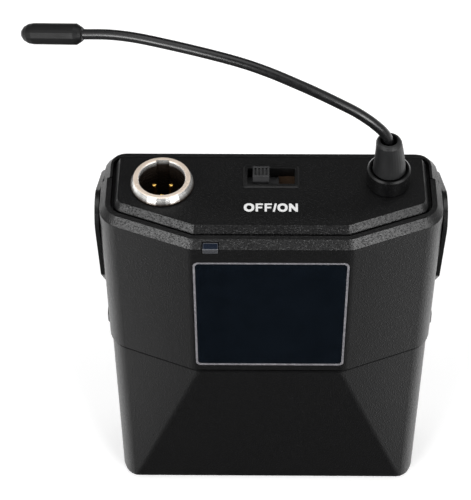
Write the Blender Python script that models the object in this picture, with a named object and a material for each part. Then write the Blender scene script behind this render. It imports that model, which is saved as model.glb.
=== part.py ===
"""Belt-pack transmitter: casing, end panel with socket, switch and antenna, battery door and belt clip.

Metres, +Z up. The end panel faces +Z, the label faces -Y and the belt clip is on the +Y side.
The origin is the centre of the base of the casing and clip, at the level that the pack stands on.
"""

import math

import bpy
import bmesh
from mathutils import Matrix, Vector

MM = 0.001

# ---------------------------------------------------------------- driving dimensions
BODY_WIDTH = 64.0 * MM
BODY_HEIGHT = 85.4 * MM
BODY_DEPTH = 24.4 * MM
WALL = 1.6 * MM
GAP = 0.3 * MM

FRONT_FLAT_WIDTH = 29.6 * MM
FACET_SETBACK = 6.9 * MM
LOWER_SETBACK = 6.2 * MM
KINK_RADIUS = 4.0 * MM
FRONT_CORNER_RADIUS = 5.0 * MM
BACK_CORNER_RADIUS = 4.0 * MM
BASE_RADIUS = 2.5 * MM
PARTING_FROM_BACK = 7.5 * MM
BACK_SIDE_STEP = 0.5 * MM
FLOOR = 1.8 * MM

RIM_CHAMFER_PLAN = 1.2 * MM
RIM_CHAMFER_DROP = 1.55 * MM
RIM_WIDTH = 0.95 * MM
LIP_THICKNESS = 1.4 * MM

PANEL_RISE = 1.3 * MM
PANEL_THICKNESS = 1.8 * MM
PANEL_GROOVE = 0.5 * MM
PANEL_CHAMFER_PLAN = 0.9 * MM
PANEL_CHAMFER_DROP = 1.6 * MM
PANEL_FLANGE = 1.2 * MM
PANEL_SKIRT = 1.5 * MM

SEAM_HEIGHT = 47.05 * MM
DOOR_INSET = 0.4 * MM
DOOR_WALL = 1.4 * MM
DOOR_LIFT = 0.2 * MM
DOOR_FOOT_HEIGHT = 4.4 * MM
DOOR_FOOT_RADIUS = 3.2 * MM
DOOR_SKIRT_HEIGHT = 3.2 * MM
HINGE_PIN_RADIUS = 0.6 * MM
HINGE_BORE_RADIUS = 0.85 * MM
HINGE_PIN_LENGTH = 52.0 * MM
KNUCKLE_RADIUS = 1.45 * MM
KNUCKLE_WIDTH = 4.4 * MM
KNUCKLE_SPACING = 42.0 * MM
KNUCKLE_NECK_DROP = 0.5 * MM
KNUCKLE_NECK_RISE = 1.1 * MM
KNUCKLE_ROOT = 2.0 * MM

LABEL_WIDTH = 28.9 * MM
LABEL_THICKNESS = 0.4 * MM
LABEL_ABOVE_SEAM = 1.55 * MM
LABEL_BELOW_PANEL = 6.5 * MM
LABEL_CORNER = 1.0 * MM
LABEL_SINK = 0.1 * MM

LED_X = -11.1 * MM
LED_WINDOW_WIDTH = 2.85 * MM
LED_WINDOW_HEIGHT = 1.1 * MM
LED_WINDOW_PROUD = 0.3 * MM
LED_BELOW_PANEL = 2.55 * MM
LED_CLEARANCE = 0.15 * MM
LED_WEDGE_DEPTH = 0.75 * MM
LED_WEDGE_RISE = 0.75 * MM
LED_RADIUS = 1.5 * MM
LED_LENGTH = 3.7 * MM
LIGHT_PIPE_LENGTH = 4.4 * MM
LIGHT_PIPE_DEPTH = 1.0 * MM
LED_LEAD = 0.5 * MM

SOCKET_FROM_SIDE = 11.7 * MM
SOCKET_FROM_BACK = 10.5 * MM
SOCKET_BORE_RADIUS = 4.35 * MM
SOCKET_BARREL_RADIUS = 4.95 * MM
SOCKET_RING_RADIUS = 5.95 * MM
SOCKET_RIM_RADIUS = 5.12 * MM
SOCKET_RING_HEIGHT = 1.7 * MM
SOCKET_LENGTH = 12.0 * MM
SOCKET_KEY_WIDTH = 2.4 * MM
SOCKET_KEY_DEPTH = 0.3 * MM
SOCKET_NUT_RADIUS = 6.1 * MM
SOCKET_NUT_HEIGHT = 2.0 * MM
SOCKET_NUT_CLEARANCE = 0.45 * MM
SOCKET_SEAT = 0.15 * MM
INSULATOR_THICKNESS = 3.0 * MM
INSULATOR_BELOW_PANEL = 7.5 * MM
CONTACT_PIN_RADIUS = 0.45 * MM
CONTACT_PIN_CIRCLE = 1.83 * MM
CONTACT_PIN_TIP_DEPTH = 2.8 * MM
CONTACT_PIN_TAIL = 2.2 * MM
CONTACT_PIN_COUNT = 3

ANTENNA_FROM_SIDE = 10.26 * MM
ANTENNA_FROM_BACK = 9.8 * MM
COLLAR_RADIUS = 4.03 * MM
COLLAR_HEIGHT = 3.7 * MM
COLLAR_LIP = 0.55 * MM
COLLAR_STUD_RADIUS = 2.5 * MM
COLLAR_STUD_LENGTH = 6.6 * MM
ANTENNA_NUT_RADIUS = 4.3 * MM
ANTENNA_NUT_HEIGHT = 1.8 * MM
BOOT_BASE_RADIUS = 3.06 * MM
BOOT_TOP_RADIUS = 2.31 * MM
BOOT_HEIGHT = 7.4 * MM
BOOT_LEAN = 0.5 * MM
BOOT_BORE_RADIUS = 1.55 * MM
BOOT_BORE_DEPTH = 3.9 * MM
BOOT_LIP_RADIUS = 0.7 * MM
CABLE_DIAMETER = 1.92 * MM
CAP_RADIUS = 1.95 * MM
CAP_LENGTH = 12.2 * MM
CAP_NECK_RADIUS = 1.2 * MM
CAP_SHOULDER = 1.2 * MM
CAP_NOSE = 2.6 * MM

SWITCH_FROM_BACK = 8.65 * MM
SWITCH_OPENING_LENGTH = 8.85 * MM
SWITCH_OPENING_WIDTH = 4.0 * MM
BEZEL_LENGTH = 10.5 * MM
BEZEL_WIDTH = 5.85 * MM
BEZEL_HEIGHT = 0.3 * MM
KNOB_LENGTH = 3.06 * MM
KNOB_WIDTH = 2.6 * MM
KNOB_HEIGHT = 1.6 * MM
KNOB_TRAVEL = 3.8 * MM
KNOB_RIB_COUNT = 5
KNOB_GROOVE_DEPTH = 0.4 * MM
SLIDER_LENGTH = 6.8 * MM
SLIDER_WIDTH = 4.4 * MM
SLIDER_THICKNESS = 2.1 * MM
SWITCH_FRAME_LENGTH = 12.4 * MM
SWITCH_FRAME_WIDTH = 6.2 * MM
SWITCH_FRAME_HEIGHT = 4.4 * MM
SWITCH_FRAME_WALL = 0.5 * MM
WAFER_THICKNESS = 1.0 * MM

BOARD_WIDTH = 43.0 * MM
BOARD_THICKNESS = 1.0 * MM
BOARD_ABOVE_SEAM = 1.5 * MM
BOARD_BELOW_PANEL = 4.8 * MM
BOARD_STANDOFF = 1.8 * MM
BOARD_SCREW_SPACING = 34.0 * MM
BOARD_SCREW_ABOVE_SEAM = 4.0 * MM
SHIELD_WIDTH = 24.0 * MM
SHIELD_HEIGHT = 20.0 * MM
SHIELD_THICKNESS = 3.4 * MM
SHIELD_SCREW_CLEARANCE = 0.4 * MM
SHIELD_ABOVE_BOARD_EDGE = 1.5 * MM

CASE_SCREW_SPACING = 51.0 * MM
CASE_SCREW_ABOVE_SEAM = 4.4 * MM
CASE_SCREW_BELOW_PANEL = 17.3 * MM
CASE_SCREW_RADIUS = 1.1 * MM
CASE_SCREW_HEAD_RADIUS = 2.2 * MM
CASE_SCREW_HEAD_HEIGHT = 1.0 * MM
CASE_SCREW_LENGTH = 15.0 * MM
BOSS_RADIUS = 2.6 * MM
BOARD_SCREW_RADIUS = 0.8 * MM
BOARD_SCREW_HEAD_RADIUS = 1.6 * MM
BOARD_SCREW_HEAD_HEIGHT = 0.9 * MM

TRAY_HALF_WIDTH = 29.0 * MM
TRAY_BOTTOM = 6.4 * MM
TRAY_BELOW_SEAM = 3.5 * MM
TRAY_DOOR_CLEARANCE = 0.75 * MM
TRAY_SIDE_WALL = 1.0 * MM
TRAY_WALL = 1.2 * MM
TRAY_CORNER = 2.6 * MM
CELL_RADIUS = 7.25 * MM
CELL_SPACING = 16.2 * MM
TRAY_RIDGE_HEIGHT = 1.4 * MM
TRAY_RIDGE_WIDTH = 1.2 * MM
CONTACT_THICKNESS = 0.4 * MM
CONTACT_WIDTH = 10.0 * MM
CONTACT_HEIGHT = 11.0 * MM
CONTACT_NUB_RADIUS = 1.8 * MM
CONTACT_NUB_HEIGHT = 0.6 * MM
SPRING_WIRE_RADIUS = 0.35 * MM
SPRING_BASE_RADIUS = 4.0 * MM
SPRING_TIP_RADIUS = 2.6 * MM
SPRING_PITCH = 1.2 * MM
SPRING_TURNS = 4

LATCH_HEIGHT = 3.6 * MM
LATCH_FRONT_MARGIN = 0.39 * MM
LATCH_BACK_MARGIN = 1.2 * MM
LATCH_ABOVE_SEAM = 1.1 * MM
LATCH_PROUD = 0.35 * MM
LATCH_FLANGE = 0.7 * MM
LATCH_FLANGE_THICKNESS = 0.9 * MM
LATCH_FINGER_LENGTH = 1.8 * MM
LATCH_FINGER_WIDTH = 1.9 * MM
LATCH_FINGER_INSET = 0.3 * MM
LATCH_CLEARANCE = 0.2 * MM

CLIP_THICKNESS = 0.8 * MM
BELT_GAP = 4.6 * MM
CLIP_LIP_FLARE = 1.2 * MM
CLIP_GRIP = 1.4 * MM
CLIP_PIVOT_FROM_BACK = 10.1 * MM
CLIP_PIVOT_BELOW_PANEL = 8.1 * MM
CLIP_PLATE_BELOW_PANEL = 12.0 * MM
CLIP_EAR_RADIUS = 4.5 * MM
CLIP_EAR_TOE_REACH = 2.3 * MM
CLIP_EAR_TOE_DROP = 15.4 * MM
CLIP_EAR_TOE_RADIUS = 3.0 * MM
CLIP_EAR_HEEL_SETBACK = 4.2 * MM
CLIP_EAR_HEEL_RADIUS = 3.0 * MM
CLIP_BEND_RADIUS = 2.4 * MM
CLIP_ABOVE_LATCH = 0.9 * MM
CLIP_SHOULDER_RADIUS = 3.0 * MM
CLIP_TAPER_DROP = 10.0 * MM
CLIP_NECK_RADIUS = 5.0 * MM
CLIP_TONGUE_WIDTH = 38.0 * MM
CLIP_BOTTOM = 13.5 * MM
CLIP_TONGUE_RADIUS = 6.0 * MM
CLIP_GRIP_HEIGHT = 7.5 * MM
PIVOT_RADIUS = 1.5 * MM
PIVOT_HEAD_RADIUS = 2.4 * MM
PIVOT_DOME = 0.25 * MM
PIVOT_CLEARANCE = 0.25 * MM

# ---------------------------------------------------------------- planes worked out from them
OVERALL_DEPTH = LED_WINDOW_PROUD + BODY_DEPTH + BELT_GAP + CLIP_THICKNESS + CLIP_LIP_FLARE
FRONT_Y = -OVERALL_DEPTH / 2 + LED_WINDOW_PROUD
BACK_Y = FRONT_Y + BODY_DEPTH
PARTING_Y = BACK_Y - PARTING_FROM_BACK
HALF_WIDTH = BODY_WIDTH / 2
PANEL_Z = BODY_HEIGHT
RIM_Z = PANEL_Z - PANEL_RISE
LIP_BOTTOM_Z = RIM_Z - LIP_THICKNESS
PANEL_UNDER_Z = PANEL_Z - PANEL_THICKNESS
LIP_INSET = RIM_CHAMFER_PLAN + RIM_WIDTH
INNER_BACK_Y = BACK_Y - WALL
CUT = 3.0 * MM
HOLE_STEPS = 15
FACET_USE = 0.96
LEAST_FACET = 2.0 * MM
SLOT_STEPS = 24
TURN_STEPS = 10

BLACK = (0.022, 0.022, 0.023)
MATERIALS = {
    "black_plastic": (BLACK, 0.55, 0.0),
    "panel_plastic": ((0.018, 0.018, 0.019), 0.5, 0.0),
    "label_gloss": ((0.005, 0.007, 0.010), 0.15, 0.0),
    "led_plastic": ((0.02, 0.03, 0.06), 0.2, 0.0),
    "nickel": ((0.72, 0.69, 0.66), 0.25, 1.0),
    "gold": ((0.83, 0.55, 0.18), 0.25, 1.0),
    "insulator": ((0.03, 0.02, 0.016), 0.6, 0.0),
    "rubber": ((0.02, 0.02, 0.02), 0.7, 0.0),
    "switch_metal": ((0.45, 0.45, 0.46), 0.35, 1.0),
    "phenolic": ((0.20, 0.13, 0.07), 0.6, 0.0),
    "board": ((0.01, 0.09, 0.04), 0.5, 0.0),
    "tin": ((0.60, 0.60, 0.60), 0.35, 1.0),
    "steel": ((0.35, 0.35, 0.36), 0.3, 1.0),
    "clip_steel": ((0.025, 0.025, 0.027), 0.4, 0.6),
}

for item in list(bpy.data.objects):
    bpy.data.objects.remove(item, do_unlink=True)


# ---------------------------------------------------------------- materials and objects
def material(name):
    """The Principled material of that name, made once."""
    found = bpy.data.materials.get(name)
    if found:
        return found
    colour, roughness, metallic = MATERIALS[name]
    made = bpy.data.materials.new(name)
    made.use_nodes = True
    shader = made.node_tree.nodes["Principled BSDF"]
    shader.inputs["Base Color"].default_value = (*colour, 1.0)
    shader.inputs["Roughness"].default_value = roughness
    shader.inputs["Metallic"].default_value = metallic
    return made


def add_mesh(name, vertices, faces, finish=None, smooth=False):
    """A mesh object with outward normals. Without a finish it is a cutter or a joined-in shape."""
    mesh = bpy.data.meshes.new(name)
    mesh.from_pydata([tuple(v) for v in vertices], [], faces)
    work = bmesh.new()
    work.from_mesh(mesh)
    bmesh.ops.recalc_face_normals(work, faces=work.faces)
    work.to_mesh(mesh)
    work.free()
    thing = bpy.data.objects.new(name, mesh)
    bpy.context.scene.collection.objects.link(thing)
    if smooth:
        mesh.shade_smooth()
        mesh.set_sharp_from_angle(angle=math.radians(35))
    if finish:
        mesh.materials.append(material(finish))
    else:
        thing.hide_render = True
        thing.display_type = "WIRE"
    return thing


def loft(name, rings, finish=None, smooth=False):
    """A closed solid through rings of equal point counts, with a face at each end."""
    count = len(rings[0])
    vertices = [point for ring in rings for point in ring]
    faces = [list(range(count)), [(len(rings) - 1) * count + i for i in range(count)]]
    for level in range(len(rings) - 1):
        for i in range(count):
            j = (i + 1) % count
            low, high = level * count, (level + 1) * count
            faces.append([low + i, low + j, high + j, high + i])
    return add_mesh(name, vertices, faces, finish, smooth)


def place(plane, a, b, along):
    """A point from two in-plane coordinates and one along the plane's normal."""
    if plane == "XY":
        return Vector((a, b, along))
    if plane == "XZ":
        return Vector((a, along, b))
    return Vector((along, a, b))


def prism(name, plane, outline, low, high, finish=None, smooth=False):
    """An outline in the XY, XZ or YZ plane, extruded from low to high."""
    rings = [[place(plane, a, b, along) for a, b in outline] for along in (low, high)]
    return loft(name, rings, finish, smooth)


def box(name, x, y, z, finish=None):
    """A block between the two ends given for each axis."""
    outline = [(x[0], y[0]), (x[1], y[0]), (x[1], y[1]), (x[0], y[1])]
    return prism(name, "XY", outline, z[0], z[1], finish)


def turned(name, axis, centre, profile, steps, finish=None, closed=False):
    """A profile of (radius, distance) pairs turned about an axis through centre.

    An open profile starts and ends on the axis. A closed profile is a tube's section.
    """
    vertices = []
    rows = []
    for radius, along in profile:
        if radius == 0:
            rows.append([len(vertices)] * steps)
            vertices.append((0.0, 0.0, along))
            continue
        rows.append(list(range(len(vertices), len(vertices) + steps)))
        for i in range(steps):
            turn = 2 * math.pi * i / steps
            vertices.append((radius * math.cos(turn), radius * math.sin(turn), along))
    faces = []
    last = len(rows) if closed else len(rows) - 1
    for k in range(last):
        low, high = rows[k], rows[(k + 1) % len(rows)]
        for i in range(steps):
            j = (i + 1) % steps
            corners = [low[i], low[j], high[j], high[i]]
            faces.append(list(dict.fromkeys(corners)))
    turns = {
        "Z": Matrix.Identity(4),
        "X": Matrix.Rotation(math.pi / 2, 4, "Y"),
        "Y": Matrix.Rotation(-math.pi / 2, 4, "X"),
    }
    spin = Matrix.Translation(Vector(centre)) @ turns[axis]
    placed = [spin @ Vector(v) for v in vertices]
    return add_mesh(name, placed, faces, finish, smooth=True)


def rod(name, axis, centre, radius, low, high, steps=16, finish=None):
    """A plain cylinder along an axis, from low to high measured from centre."""
    return turned(name, axis, centre, [(0, low), (radius, low), (radius, high), (0, high)], steps, finish)


def combine(target, operation, tools):
    """Adds one exact Boolean for each tool, and nests the tools under their target."""
    for tool in tools:
        step = target.modifiers.new(operation.lower(), "BOOLEAN")
        step.operation = operation
        step.solver = "EXACT"
        step.object = tool
        tool.hide_render = True
        tool.display_type = "WIRE"


def cut(target, *tools):
    combine(target, "DIFFERENCE", tools)


def join(target, *tools):
    combine(target, "UNION", tools)


def keep_inside(target, *tools):
    combine(target, "INTERSECT", tools)


def set_origin(thing, point):
    """Moves an object's origin to a point without moving its shape."""
    thing.data.transform(Matrix.Translation(-Vector(point)))
    thing.location = Vector(point)


# ---------------------------------------------------------------- outlines
def rounded(points, radii, steps):
    """A polygon whose corners become arcs, each with its own radius and step count."""
    outline = []
    count = len(points)
    for i, (corner, radius, step) in enumerate(zip(points, radii, steps)):
        here = Vector(corner)
        if radius == 0:
            outline.append((here.x, here.y))
            continue
        before = (Vector(points[i - 1]) - here).normalized()
        after = (Vector(points[(i + 1) % count]) - here).normalized()
        half = before.angle(after) / 2
        middle = here + (before + after).normalized() * (radius / math.sin(half))
        start = here + before * (radius / math.tan(half)) - middle
        finish = here + after * (radius / math.tan(half)) - middle
        sweep = start.angle_signed(finish)
        for k in range(step + 1):
            turn = -sweep * k / step
            x = start.x * math.cos(turn) - start.y * math.sin(turn)
            y = start.x * math.sin(turn) + start.y * math.cos(turn)
            outline.append((middle.x + x, middle.y + y))
    return outline


def rounded_rectangle(x, y, radius, step=4):
    corners = [(x[0], y[0]), (x[1], y[0]), (x[1], y[1]), (x[0], y[1])]
    return rounded(corners, [radius] * 4, [step] * 4)


FACET_SLOPE = FACET_SETBACK / (HALF_WIDTH - FRONT_FLAT_WIDTH / 2)
FACET_ANGLE = math.atan(FACET_SLOPE)


def front_at(z):
    """The casing's front plane at a height: upright above the seam, leaning back below it."""
    return FRONT_Y + LOWER_SETBACK * max(0.0, SEAM_HEIGHT - z) / SEAM_HEIGHT


def casing_section(z, inset=0.0, side_step=0.0, front_proud=0.0):
    """The casing's outline at height z, drawn in by inset, by side_step at the sides, less at the front plane."""
    front = front_at(z) + inset - front_proud
    side = HALF_WIDTH - inset - side_step
    back = BACK_Y - inset
    drop = inset / math.cos(FACET_ANGLE)
    flat = FRONT_FLAT_WIDTH / 2 + (front - FRONT_Y - drop) / FACET_SLOPE
    corner = FRONT_Y + drop + (side - FRONT_FLAT_WIDTH / 2) * FACET_SLOPE
    flat = min(flat, side - LEAST_FACET)
    corner = max(corner, front + LEAST_FACET * FACET_SLOPE)
    points = [(-flat, front), (flat, front), (side, corner), (side, back), (-side, back), (-side, corner)]
    least = 0.3 * MM
    kink = max(KINK_RADIUS - inset, least)
    fore = max(FRONT_CORNER_RADIUS - inset, least)
    aft = max(BACK_CORNER_RADIUS - inset, least)
    facet = (side - flat) / math.cos(FACET_ANGLE)
    needed = kink * math.tan(FACET_ANGLE / 2) + fore * math.tan(math.pi / 4 - FACET_ANGLE / 2)
    share = min(1.0, FACET_USE * facet / needed)
    kink *= share
    fore *= share
    outline = rounded(points, [kink, kink, fore, aft, aft, fore], [4, 4, 5, 5, 5, 5])
    return [Vector((x, y, z)) for x, y in outline]


def base_levels(floor):
    """Height and inset of the rings that round the casing's lower edge."""
    levels = []
    for k in range(4):
        turn = math.radians(30 * k)
        levels.append((floor + BASE_RADIUS * (1 - math.cos(turn)), BASE_RADIUS * (1 - math.sin(turn))))
    return levels


def casing_solid(name, levels, finish, side_step=0.0):
    """The casing's outer shape from the lowest of levels, through the seam, up to the chamfered rim."""
    rings = [casing_section(z, inset, side_step) for z, inset in levels]
    rings.append(casing_section(SEAM_HEIGHT, 0.0, side_step))
    rings.append(casing_section(RIM_Z - RIM_CHAMFER_DROP, 0.0, side_step))
    rings.append(casing_section(RIM_Z, RIM_CHAMFER_PLAN, side_step))
    return loft(name, rings, finish, smooth=True)


def casing_hollow(name, low):
    """The room inside the casing, up to the underside of the rim's lip."""
    rings = [casing_section(low, WALL)]
    if low < SEAM_HEIGHT:
        rings.append(casing_section(SEAM_HEIGHT, WALL))
    rings.append(casing_section(LIP_BOTTOM_Z, WALL))
    return loft(name, rings)


def rim_opening(name):
    """The opening in the rim that the end panel stands in."""
    return loft(name, [casing_section(z, LIP_INSET) for z in (LIP_BOTTOM_Z - MM / 2, RIM_Z + CUT)])


# ---------------------------------------------------------------- places shared by several pieces
SOCKET_X = -(HALF_WIDTH - SOCKET_FROM_SIDE)
SOCKET_Y = BACK_Y - SOCKET_FROM_BACK
ANTENNA_X = HALF_WIDTH - ANTENNA_FROM_SIDE
ANTENNA_Y = BACK_Y - ANTENNA_FROM_BACK
SWITCH_Y = BACK_Y - SWITCH_FROM_BACK
HINGE_Z = BASE_RADIUS
HINGE_Y = front_at(HINGE_Z) + DOOR_INSET + BASE_RADIUS
BASE_FRONT_Y = HINGE_Y + DOOR_FOOT_RADIUS + GAP
HEEL_HEIGHTS = [
    HINGE_Z - KNUCKLE_RADIUS,
    HINGE_Z - KNUCKLE_NECK_DROP,
    DOOR_SKIRT_HEIGHT,
    HINGE_Z + KNUCKLE_RADIUS,
]
CASE_SCREW_PLACES = [
    (side * CASE_SCREW_SPACING / 2, z)
    for z in (SEAM_HEIGHT + CASE_SCREW_ABOVE_SEAM, PANEL_Z - CASE_SCREW_BELOW_PANEL)
    for side in (-1, 1)
]
BOARD_BACK_Y = INNER_BACK_Y - BOARD_STANDOFF
BOARD_FRONT_Y = BOARD_BACK_Y - BOARD_THICKNESS
BOARD_BOTTOM_Z = SEAM_HEIGHT + BOARD_ABOVE_SEAM
BOARD_SCREW_Z = SEAM_HEIGHT + BOARD_SCREW_ABOVE_SEAM + BOARD_ABOVE_SEAM
SIDE_FLAT_Y = FRONT_Y + FACET_SETBACK + FRONT_CORNER_RADIUS * math.tan(math.pi / 4 - FACET_ANGLE / 2)
LATCH_FRONT_Y = SIDE_FLAT_Y + LATCH_FRONT_MARGIN
LATCH_LENGTH = PARTING_Y - LATCH_BACK_MARGIN - LATCH_FRONT_Y
LATCH_Y = LATCH_FRONT_Y + LATCH_LENGTH / 2
LATCH_Z = SEAM_HEIGHT + LATCH_ABOVE_SEAM + LATCH_HEIGHT / 2
CLIP_PIVOT_Y = BACK_Y - CLIP_PIVOT_FROM_BACK
CLIP_PIVOT_Z = PANEL_Z - CLIP_PIVOT_BELOW_PANEL
CLIP_SHOULDER_Z = LATCH_Z + LATCH_HEIGHT / 2 + CLIP_ABOVE_LATCH
EAR_INNER_X = HALF_WIDTH + GAP
EAR_OUTER_X = EAR_INNER_X + CLIP_THICKNESS
TRAY_TOP = SEAM_HEIGHT - TRAY_BELOW_SEAM
DOOR_INSIDE_Y = FRONT_Y + (DOOR_INSET + DOOR_WALL) / math.cos(FACET_ANGLE)
TRAY_FRONT_Y = DOOR_INSIDE_Y + FACET_SLOPE * (TRAY_HALF_WIDTH - FRONT_FLAT_WIDTH / 2) + TRAY_DOOR_CLEARANCE
TRAY_BACK_Y = INNER_BACK_Y - GAP
BAY_BACK_Y = TRAY_BACK_Y - TRAY_WALL
CELL_Y = BAY_BACK_Y - GAP - CELL_RADIUS
BAY_MIDDLE_Z = (TRAY_BOTTOM + TRAY_TOP) / 2
LOWER_CELL_Z = BAY_MIDDLE_Z - CELL_SPACING / 2
UPPER_CELL_Z = BAY_MIDDLE_Z + CELL_SPACING / 2
BAY_HALF_WIDTH = TRAY_HALF_WIDTH - TRAY_SIDE_WALL
LED_TOP_Z = PANEL_Z - LED_BELOW_PANEL
LED_BOTTOM_Z = LED_TOP_Z - LED_WINDOW_HEIGHT
FRAME_TOP_Z = PANEL_UNDER_Z - GAP
SHIELD_X = BOARD_SCREW_SPACING / 2 - BOARD_SCREW_HEAD_RADIUS - SHIELD_SCREW_CLEARANCE - SHIELD_WIDTH / 2


# ---------------------------------------------------------------- casing
def seam_edge(shift):
    """The seam in side view: level as far back as the door's hinge, then round the hinge so the door clears."""
    radius = SEAM_HEIGHT + shift - HINGE_Z
    sweep = math.asin((BACK_Y + CUT - HINGE_Y) / radius)
    steps = 8
    turns = [sweep * k / steps for k in range(steps + 1)]
    return [(HINGE_Y + radius * math.sin(turn), HINGE_Z + radius * math.cos(turn)) for turn in turns]


def front_shell():
    """The upper front cover, open at the back and below, with the recess for the label."""
    shell = casing_solid("front_shell", [(SEAM_HEIGHT - CUT, 0.0)], "black_plastic")
    wide = (-HALF_WIDTH - CUT, HALF_WIDTH + CUT)
    behind = box("front_shell_behind", wide, (PARTING_Y - GAP / 2, BACK_Y + CUT), (0, PANEL_Z + CUT))
    edge = seam_edge(GAP / 2)
    below = [(FRONT_Y - CUT, edge[0][1]), *edge, (edge[-1][0], SEAM_HEIGHT - 3 * CUT),
             (FRONT_Y - CUT, SEAM_HEIGHT - 3 * CUT)]
    cut(shell, behind, casing_hollow("front_shell_hollow", SEAM_HEIGHT - 2 * CUT), rim_opening("front_shell_rim"),
        prism("front_shell_below", "YZ", below, *wide))
    for number, (x, z) in enumerate(CASE_SCREW_PLACES, 1):
        root = FRONT_Y + FACET_SLOPE * (abs(x) + BOSS_RADIUS - FRONT_FLAT_WIDTH / 2) + GAP
        boss = rod(f"front_boss_{number}", "Y", (x, 0, z), BOSS_RADIUS, root, PARTING_Y - GAP / 2)
        join(shell, boss)
    for number, (x, z) in enumerate(CASE_SCREW_PLACES, 1):
        end = BACK_Y - CASE_SCREW_LENGTH - GAP * 2
        cut(shell, rod(f"front_screw_hole_{number}", "Y", (x, 0, z), CASE_SCREW_RADIUS + GAP, end, BACK_Y,
                       HOLE_STEPS))
    recess = label_outline(GAP / 2)
    cut(shell, prism("label_recess", "XZ", recess, FRONT_Y - CUT,
                     FRONT_Y + LABEL_SINK + LABEL_THICKNESS + GAP / 2))
    notch = (LED_X - LED_WINDOW_WIDTH / 2 - LED_CLEARANCE, LED_X + LED_WINDOW_WIDTH / 2 + LED_CLEARANCE)
    sill = LED_BOTTOM_Z - LED_CLEARANCE
    cut(shell, box("led_passage", notch, (FRONT_Y - CUT, FRONT_Y + LIP_INSET + MM),
                   (sill, LED_TOP_Z + LED_CLEARANCE)))
    cut(shell, box("led_notch", notch, (FRONT_Y - 2 * CUT, FRONT_Y + LED_WEDGE_DEPTH + LED_CLEARANCE),
                   (sill + LED_CLEARANCE, RIM_Z + CUT)))
    for side in (-1, 1):
        reach = sorted((side * (HALF_WIDTH - WALL - CUT), side * (HALF_WIDTH + CUT)))
        half = LATCH_LENGTH / 2 + LATCH_CLEARANCE
        tall = LATCH_HEIGHT / 2 + LATCH_CLEARANCE
        outline = rounded_rectangle((LATCH_Y - half, LATCH_Y + half), (LATCH_Z - tall, LATCH_Z + tall), MM)
        cut(shell, prism(f"latch_window_{side}", "YZ", outline, *reach))
        cut(shell, rod(f"pivot_hole_{side}", "X", (0, CLIP_PIVOT_Y, CLIP_PIVOT_Z),
                       PIVOT_RADIUS + PIVOT_CLEARANCE, *reach))
    return shell


def heel_curve(radius, low, high):
    """Points on a curve round the hinge axis, behind it, between two heights, sampled at fixed heights."""
    heights = [low] + [z for z in HEEL_HEIGHTS if low < z < high] + [high]
    return [(HINGE_Y + math.sqrt(radius ** 2 - (z - HINGE_Z) ** 2), z) for z in heights]


def knuckle_outline():
    """A knuckle's side view: the eye round the hinge axis and the arm that carries it from the base."""
    low = math.asin(KNUCKLE_NECK_DROP / KNUCKLE_RADIUS)
    high = math.asin(KNUCKLE_NECK_RISE / KNUCKLE_RADIUS)
    outline = []
    steps = 14
    for k in range(steps + 1):
        turn = high + (2 * math.pi - low - high) * k / steps
        outline.append((HINGE_Y + KNUCKLE_RADIUS * math.cos(turn), HINGE_Z + KNUCKLE_RADIUS * math.sin(turn)))
    root = BASE_FRONT_Y + GAP
    outline += [(root, HINGE_Z - KNUCKLE_NECK_DROP), (root, FLOOR / 2), (root + KNUCKLE_ROOT, FLOOR / 2),
                (root + KNUCKLE_ROOT, HINGE_Z + KNUCKLE_NECK_RISE)]
    return outline


def screw_passage(name, x, z, radius, inner, seat_radius, seat):
    """A stepped cutter along Y: the shank's hole from inner, and the head's seat out through the back."""
    profile = [(0, inner), (radius, inner), (radius, seat), (seat_radius, seat), (seat_radius, BACK_Y + CUT),
               (0, BACK_Y + CUT)]
    return turned(name, "Y", (x, 0, z), profile, HOLE_STEPS)


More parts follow.
